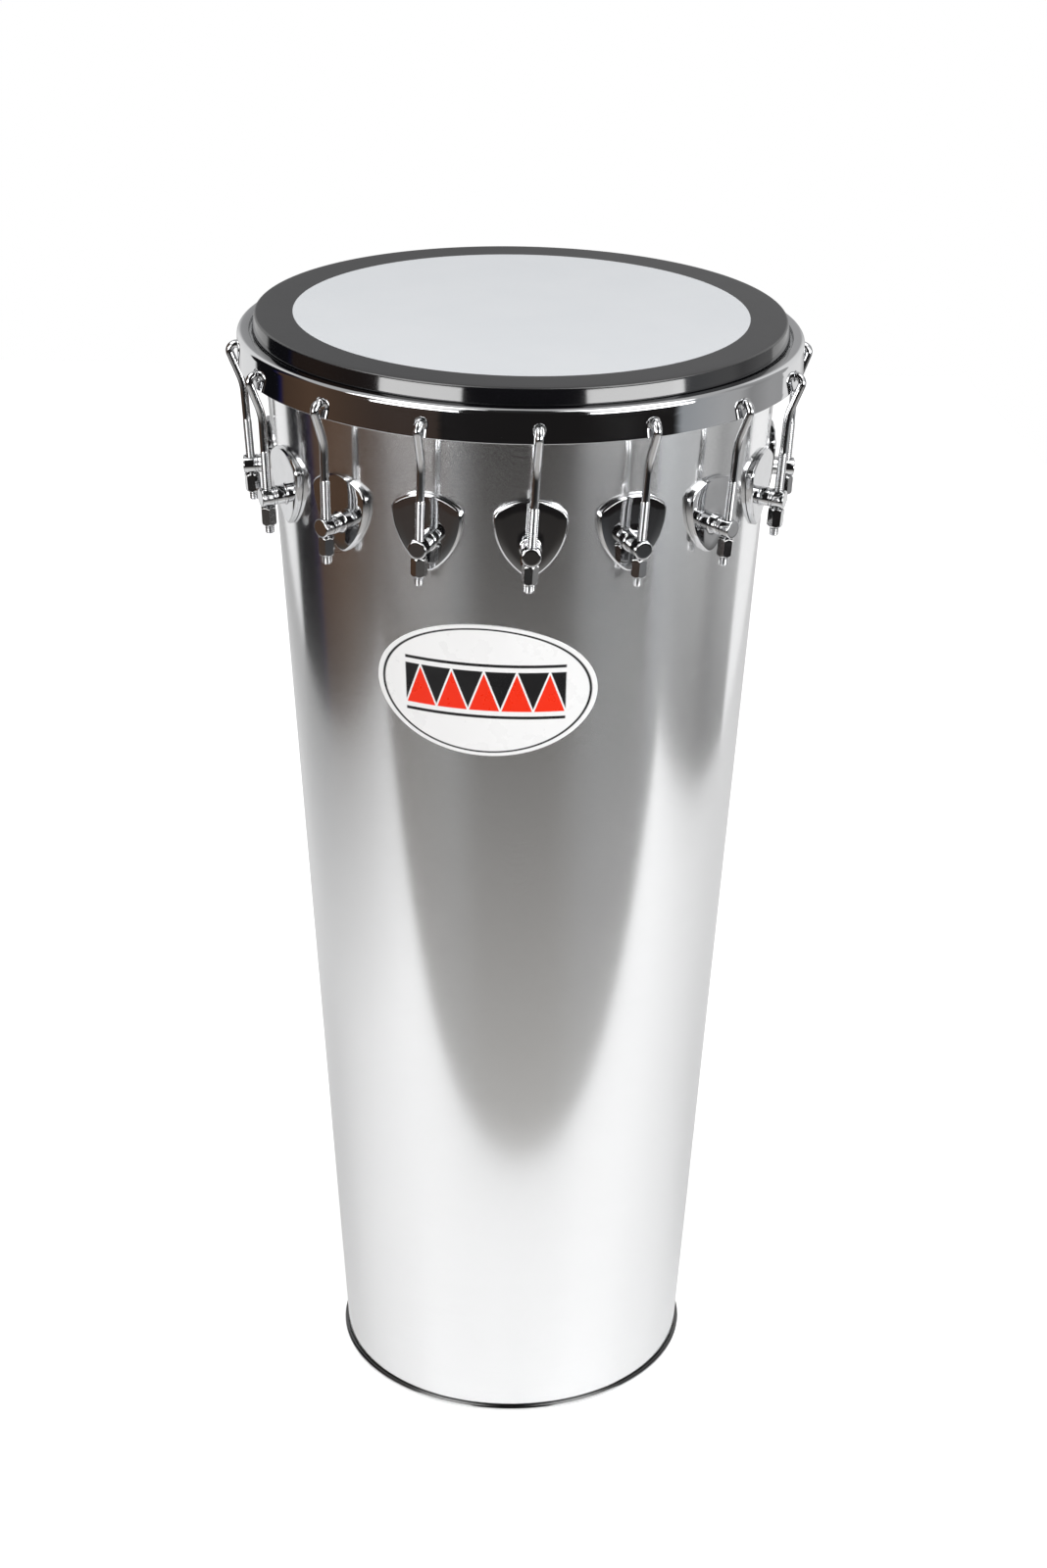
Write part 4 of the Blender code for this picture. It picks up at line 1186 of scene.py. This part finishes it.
def make_badge():
    """An oval sticker on the cone: polar rings of an ellipse laid on the wall, a front and a back.

    At share s of the way out and angle t, it lies at azimuth a + s (w / r) cos t and height h + s b sin t.
    """
    radius = wall_radius(BADGE_MIDDLE_HEIGHT)
    angles = full_turn(BADGE_STEPS)
    shares = np.concatenate([np.linspace(*BADGE_RING_SHARES, BADGE_RINGS), [1.0]])[:, None]
    half_angle = BADGE_WIDTH / 2 / radius
    azimuth = FRONT + BADGE_AZIMUTH + shares * half_angle * np.cos(angles)
    height = BADGE_MIDDLE_HEIGHT + shares * BADGE_HEIGHT / 2 * np.sin(angles)

    def laid(off_wall):
        reach = wall_radius(height) + off_wall
        return np.stack([reach * np.cos(azimuth), reach * np.sin(azimuth), height], axis=-1)

    front = laid(GAP + BADGE_THICKNESS)
    back = laid(GAP)
    mesh = new_mesh("badge", skin(np.concatenate([front, back[::-1]])), sharp=60.0)
    piece("fine_badge", mesh, [PRINT], "drum_body", "badge_vinyl", "badge")
    layer = mesh.uv_layers.new(name="print")
    corners = np.empty(len(mesh.loops), dtype=np.int32)
    mesh.loops.foreach_get("vertex_index", corners)
    flat = np.stack([shares * np.cos(angles), shares * np.sin(angles)], axis=-1).reshape(-1, 2)
    flat = np.vstack([flat, flat.reshape(*front.shape[:2], 2)[::-1].reshape(-1, 2), [(0, 0), (0, 0)]])
    layer.data.foreach_set("uv", flat[corners].reshape(-1))


def dress_hidden_nodes():
    """The wire in the foot's roll and the flesh hoop keep their solids and take a finish."""
    for name, material in (("bead_wire", WIRE), ("flesh_hoop", MILL)):
        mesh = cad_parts[name].data
        mesh.materials.clear()
        mesh.materials.append(material)


def make_camera():
    """A camera aimed by its own axes: forward from yaw and pitch, then rolled about forward."""
    forward = np.array([
        math.sin(CAMERA_YAW) * math.cos(CAMERA_DOWN),
        math.cos(CAMERA_YAW) * math.cos(CAMERA_DOWN),
        -math.sin(CAMERA_DOWN),
    ])
    level = np.array([math.cos(CAMERA_YAW), -math.sin(CAMERA_YAW), 0.0])
    upright = np.cross(level, forward)
    right = math.cos(CAMERA_ROLL) * level + math.sin(CAMERA_ROLL) * upright
    up = math.cos(CAMERA_ROLL) * upright - math.sin(CAMERA_ROLL) * level
    data = bpy.data.cameras.new("camera")
    data.lens = CAMERA_LENS
    data.shift_x = CAMERA_SHIFT
    data.sensor_width = CAMERA_SENSOR
    data.clip_start = CAMERA_CLIP_START
    camera = in_scene("camera", data)
    camera.matrix_world = facing(CAMERA_PLACE, right, up, -forward)
    bpy.context.scene.camera = camera


# The pale sheet on the floor: its corners, its grey, its lift near the drum and farther out, and the stretch
# of X over which its far left is painted darker in metal, a painted shade where less light falls
FLOOR_CORNERS = ((-1.20, -0.51), (1.09, -0.36), (0.70, 2.60), (-0.98, 2.60))
FLOOR_GREY = (0.82, 0.82, 0.82, 1.0)
LIFT_DISTANCES = (0.20, 0.60)
FLOOR_LIFTS = (0.45, 0.75)
MIRRORED_LIFT = 0.015
FAR_LEFT_SHADE = (-0.55, -1.15)
FAR_LEFT_SHADE_GREY = (0.40, 0.40, 0.40, 1.0)


def make_floor():
    """A pale sheet on the floor. Seen straight it is lifted towards white, and it keeps its shadow.

    Metal mirrors it with little lift, and with painted shade that darkens its far left.
    """
    mesh = bpy.data.meshes.new("floor")
    mesh.from_pydata([(x, y, 0.0) for x, y in FLOOR_CORNERS], [], [(0, 1, 2, 3)])
    in_scene("floor", mesh)
    finish = Finish(
        "pale_floor", FLOOR_GREY[:3], metallic=0.0, roughness=0.9, Emission_Color=(1.0, 1.0, 1.0, 1.0)
    )
    path = finish.add("ShaderNodeLightPath").outputs
    place = finish.place()
    mirrored = finish.maths("MAXIMUM", path["Is Glossy Ray"], path["Is Transmission Ray"])
    reach = finish.add("ShaderNodeVectorMath", operation="LENGTH")
    finish.feed(place, reach.inputs[0])
    away = finish.ranged(reach.outputs["Value"], *LIFT_DISTANCES, *FLOOR_LIFTS)
    lift = finish.times(path["Is Camera Ray"], away)
    # Painted shade: in metal the sheet turns grey towards its far left, as where less light falls
    far_left_shade = finish.ranged(finish.parts(place)[0], *FAR_LEFT_SHADE)
    finish.shade(
        Base_Color=finish.mixed(finish.times(far_left_shade, mirrored), FLOOR_GREY, FAR_LEFT_SHADE_GREY),
        Emission_Strength=finish.times_plus(mirrored, MIRRORED_LIFT, lift),
    )
    mesh.materials.append(finish.material)


# The studio round the drum: stops of bearing, in degrees from the camera's side and positive towards +X,
# each with its red, green and blue. The floor's stops are for what lies beyond the sheet.
STUDIO_WALLS = (
    (-180.0, 0.30, 0.30, 0.305),
    (-168.0, 0.42, 0.42, 0.425),
    (-155.0, 0.88, 0.88, 0.88),
    (-134.0, 0.95, 0.95, 0.95),
    (-133.0, 0.006, 0.006, 0.007),
    (-114.0, 0.006, 0.006, 0.008),
    (-113.0, 0.010, 0.011, 0.060),
    (-111.4, 0.010, 0.011, 0.055),
    (-110.6, 0.075, 0.045, 0.030),
    (-92.0, 0.105, 0.064, 0.042),
    (-60.0, 0.060, 0.042, 0.034),
    (-34.0, 0.056, 0.041, 0.034),
    (-31.5, 0.015, 0.014, 0.014),
    (64.0, 0.014, 0.013, 0.013),
    (67.0, 0.380, 0.400, 0.420),
    (88.0, 0.500, 0.505, 0.510),
    (98.0, 0.480, 0.480, 0.480),
    (105.0, 0.320, 0.320, 0.322),
    (119.0, 0.420, 0.420, 0.422),
    (131.0, 0.400, 0.400, 0.402),
    (132.0, 0.95, 0.95, 0.95),
    (155.0, 0.88, 0.88, 0.88),
    (168.0, 0.42, 0.42, 0.425),
)
STUDIO_FLOOR = (
    (-180.0, 0.95, 0.95, 0.95),
    (-134.0, 0.95, 0.95, 0.95),
    (-133.0, 0.006, 0.006, 0.007),
    (-107.0, 0.030, 0.024, 0.024),
    (-92.0, 0.090, 0.078, 0.068),
    (-55.0, 0.070, 0.064, 0.058),
    (-35.0, 0.076, 0.078, 0.080),
    (-18.0, 0.054, 0.050, 0.047),
    (18.0, 0.054, 0.050, 0.047),
    (40.0, 0.078, 0.082, 0.090),
    (66.0, 0.140, 0.140, 0.142),
    (78.0, 0.200, 0.198, 0.198),
    (88.0, 0.170, 0.168, 0.166),
    (131.0, 0.140, 0.138, 0.136),
    (132.0, 0.95, 0.95, 0.95),
)
STUDIO_CEILING = (
    (-180.0, 0.55, 0.55, 0.55),
    (-42.0, 0.55, 0.55, 0.55),
    (-30.0, 0.03, 0.03, 0.03),
    (30.0, 0.03, 0.03, 0.03),
    (42.0, 0.55, 0.55, 0.55),
)
NEAR_FLOOR = (0.62, 0.605, 0.585, 1.0)

# Elevations in degrees, from where one part of the studio gives way to where the next has taken over
FLOOR_TO_NEAR_FLOOR = (-27.5, -43.0)
FLOOR_TO_WALL = (-28.0, -24.0)
WALL_TO_CEILING = (37.0, 41.0)

# The right wall starts higher up than the others, by this much of a direction's upward part
RIGHT_WALL_LIFT = 0.012
RIGHT_WALL_BEARINGS = (math.radians(56.0), math.radians(68.0))

# The near floor lies on the camera's side, and ends over this stretch of a direction's part away from it
NEAR_FLOOR_END = (-0.1, 0.1)


def bearing_ramp(nodes, turn, stops):
    """A colour for each bearing, from stops in degrees."""
    ramp = nodes.add("ShaderNodeValToRGB")
    elements = ramp.color_ramp.elements
    while len(elements) > 1:
        elements.remove(elements[-1])
    for i, (degrees, *colour) in enumerate(stops):
        place = (degrees + 180.0) / 360.0
        stop = elements[0] if i == 0 else elements.new(place)
        stop.position = place
        stop.color = (*colour, 1.0)
    nodes.feed(turn, ramp.inputs[0])
    return ramp.outputs["Color"]


def at_elevation(nodes, rise, low, high):
    """From 0 to 1 between two elevations in degrees, where rise is the upward part of a direction."""
    return nodes.ranged(rise, math.sin(math.radians(low)), math.sin(math.radians(high)))


def make_world():
    """White where the camera looks straight at it. Light and metal get a dim room and a pale backdrop.

    The backdrop is grey in its middle, straight behind the drum.
    """
    world = bpy.data.worlds.new("studio")
    bpy.context.scene.world = world
    world.use_nodes = True
    world.node_tree.nodes.clear()
    nodes = Nodes(world.node_tree)
    right, onward, rise = nodes.parts(nodes.add("ShaderNodeTexCoord").outputs["Generated"])
    bearing = nodes.maths("ARCTAN2", right, nodes.times(onward, -1.0))
    turn = nodes.ranged(bearing, -math.pi, math.pi)
    walls = bearing_ramp(nodes, turn, STUDIO_WALLS)
    far_floor = bearing_ramp(nodes, turn, STUDIO_FLOOR)
    ceiling = bearing_ramp(nodes, turn, STUDIO_CEILING)
    front = nodes.ranged(onward, *NEAR_FLOOR_END, 1.0, 0.0)
    near = nodes.times(at_elevation(nodes, rise, *FLOOR_TO_NEAR_FLOOR), front)
    below = nodes.mixed(near, far_floor, NEAR_FLOOR)
    lift = nodes.ranged(bearing, *RIGHT_WALL_BEARINGS, 0.0, RIGHT_WALL_LIFT)
    above_floor = at_elevation(nodes, nodes.minus(rise, lift), *FLOOR_TO_WALL)
    around = nodes.mixed(above_floor, below, walls)
    above_wall = at_elevation(nodes, rise, *WALL_TO_CEILING)
    room = nodes.add("ShaderNodeBackground")
    nodes.feed(nodes.mixed(above_wall, around, ceiling), room.inputs["Color"])
    white = nodes.add("ShaderNodeBackground")
    white.inputs["Color"].default_value = (1.0, 1.0, 1.0, 1.0)
    seen = nodes.add("ShaderNodeLightPath").outputs["Is Camera Ray"]
    choose = nodes.add("ShaderNodeMixShader")
    nodes.feed_all((seen, room.outputs[0], white.outputs[0]), choose.inputs)
    nodes.feed(choose.outputs[0], nodes.add("ShaderNodeOutputWorld").inputs["Surface"])


# Lamps: bearing in degrees from the camera's side, distance, height, width, how tall, radiance, aimed height
LAMPS = {
    "left_softbox": (-41.0, 2.30, 0.675, 1.45, 0.75, 6.2, 0.675),
    "right_softbox": (47.0, 2.30, 0.675, 1.80, 0.75, 6.4, 0.675),
    "left_panel": (-41.0, 2.35, 2.10, 1.45, 1.90, 1.0, 2.10),
    "right_panel": (47.0, 2.35, 2.10, 1.80, 1.90, 1.0, 2.10),
    "left_overhead": (-60.0, 1.4, 2.6, 1.4, 1.4, 3.4, 0.6),
    "right_overhead": (60.0, 1.4, 2.6, 1.4, 1.4, 3.4, 0.6),
}


def make_lamp(name, bearing, distance, height, width, tall, radiance, aimed_height):
    """A rectangular lamp turned towards a point on the drum's axis."""
    data = bpy.data.lights.new(name, "AREA")
    data.shape = "RECTANGLE"
    data.size = width
    data.size_y = tall
    data.energy = radiance * math.pi * width * tall
    angle = math.radians(bearing)
    place = np.array([distance * math.sin(angle), -distance * math.cos(angle), height])
    back = unit(place - np.array([0.0, 0.0, aimed_height]))
    side = unit(np.cross((0.0, 0.0, 1.0), back))
    in_scene(name, data).matrix_world = facing(place, side, np.cross(back, side), back)


def make_lamps():
    """Two long softboxes beside the camera, a dimmer panel over each, and two broad lamps overhead."""
    for name, values in LAMPS.items():
        make_lamp(name, *values)


bpy.context.scene.view_settings.view_transform = "Standard"
make_camera()
make_floor()
make_world()
make_lamps()
dress_hidden_nodes()
make_shell()
make_head()
make_tension_hoop()
make_lugs()
make_hooks()
make_nuts()
make_badge()
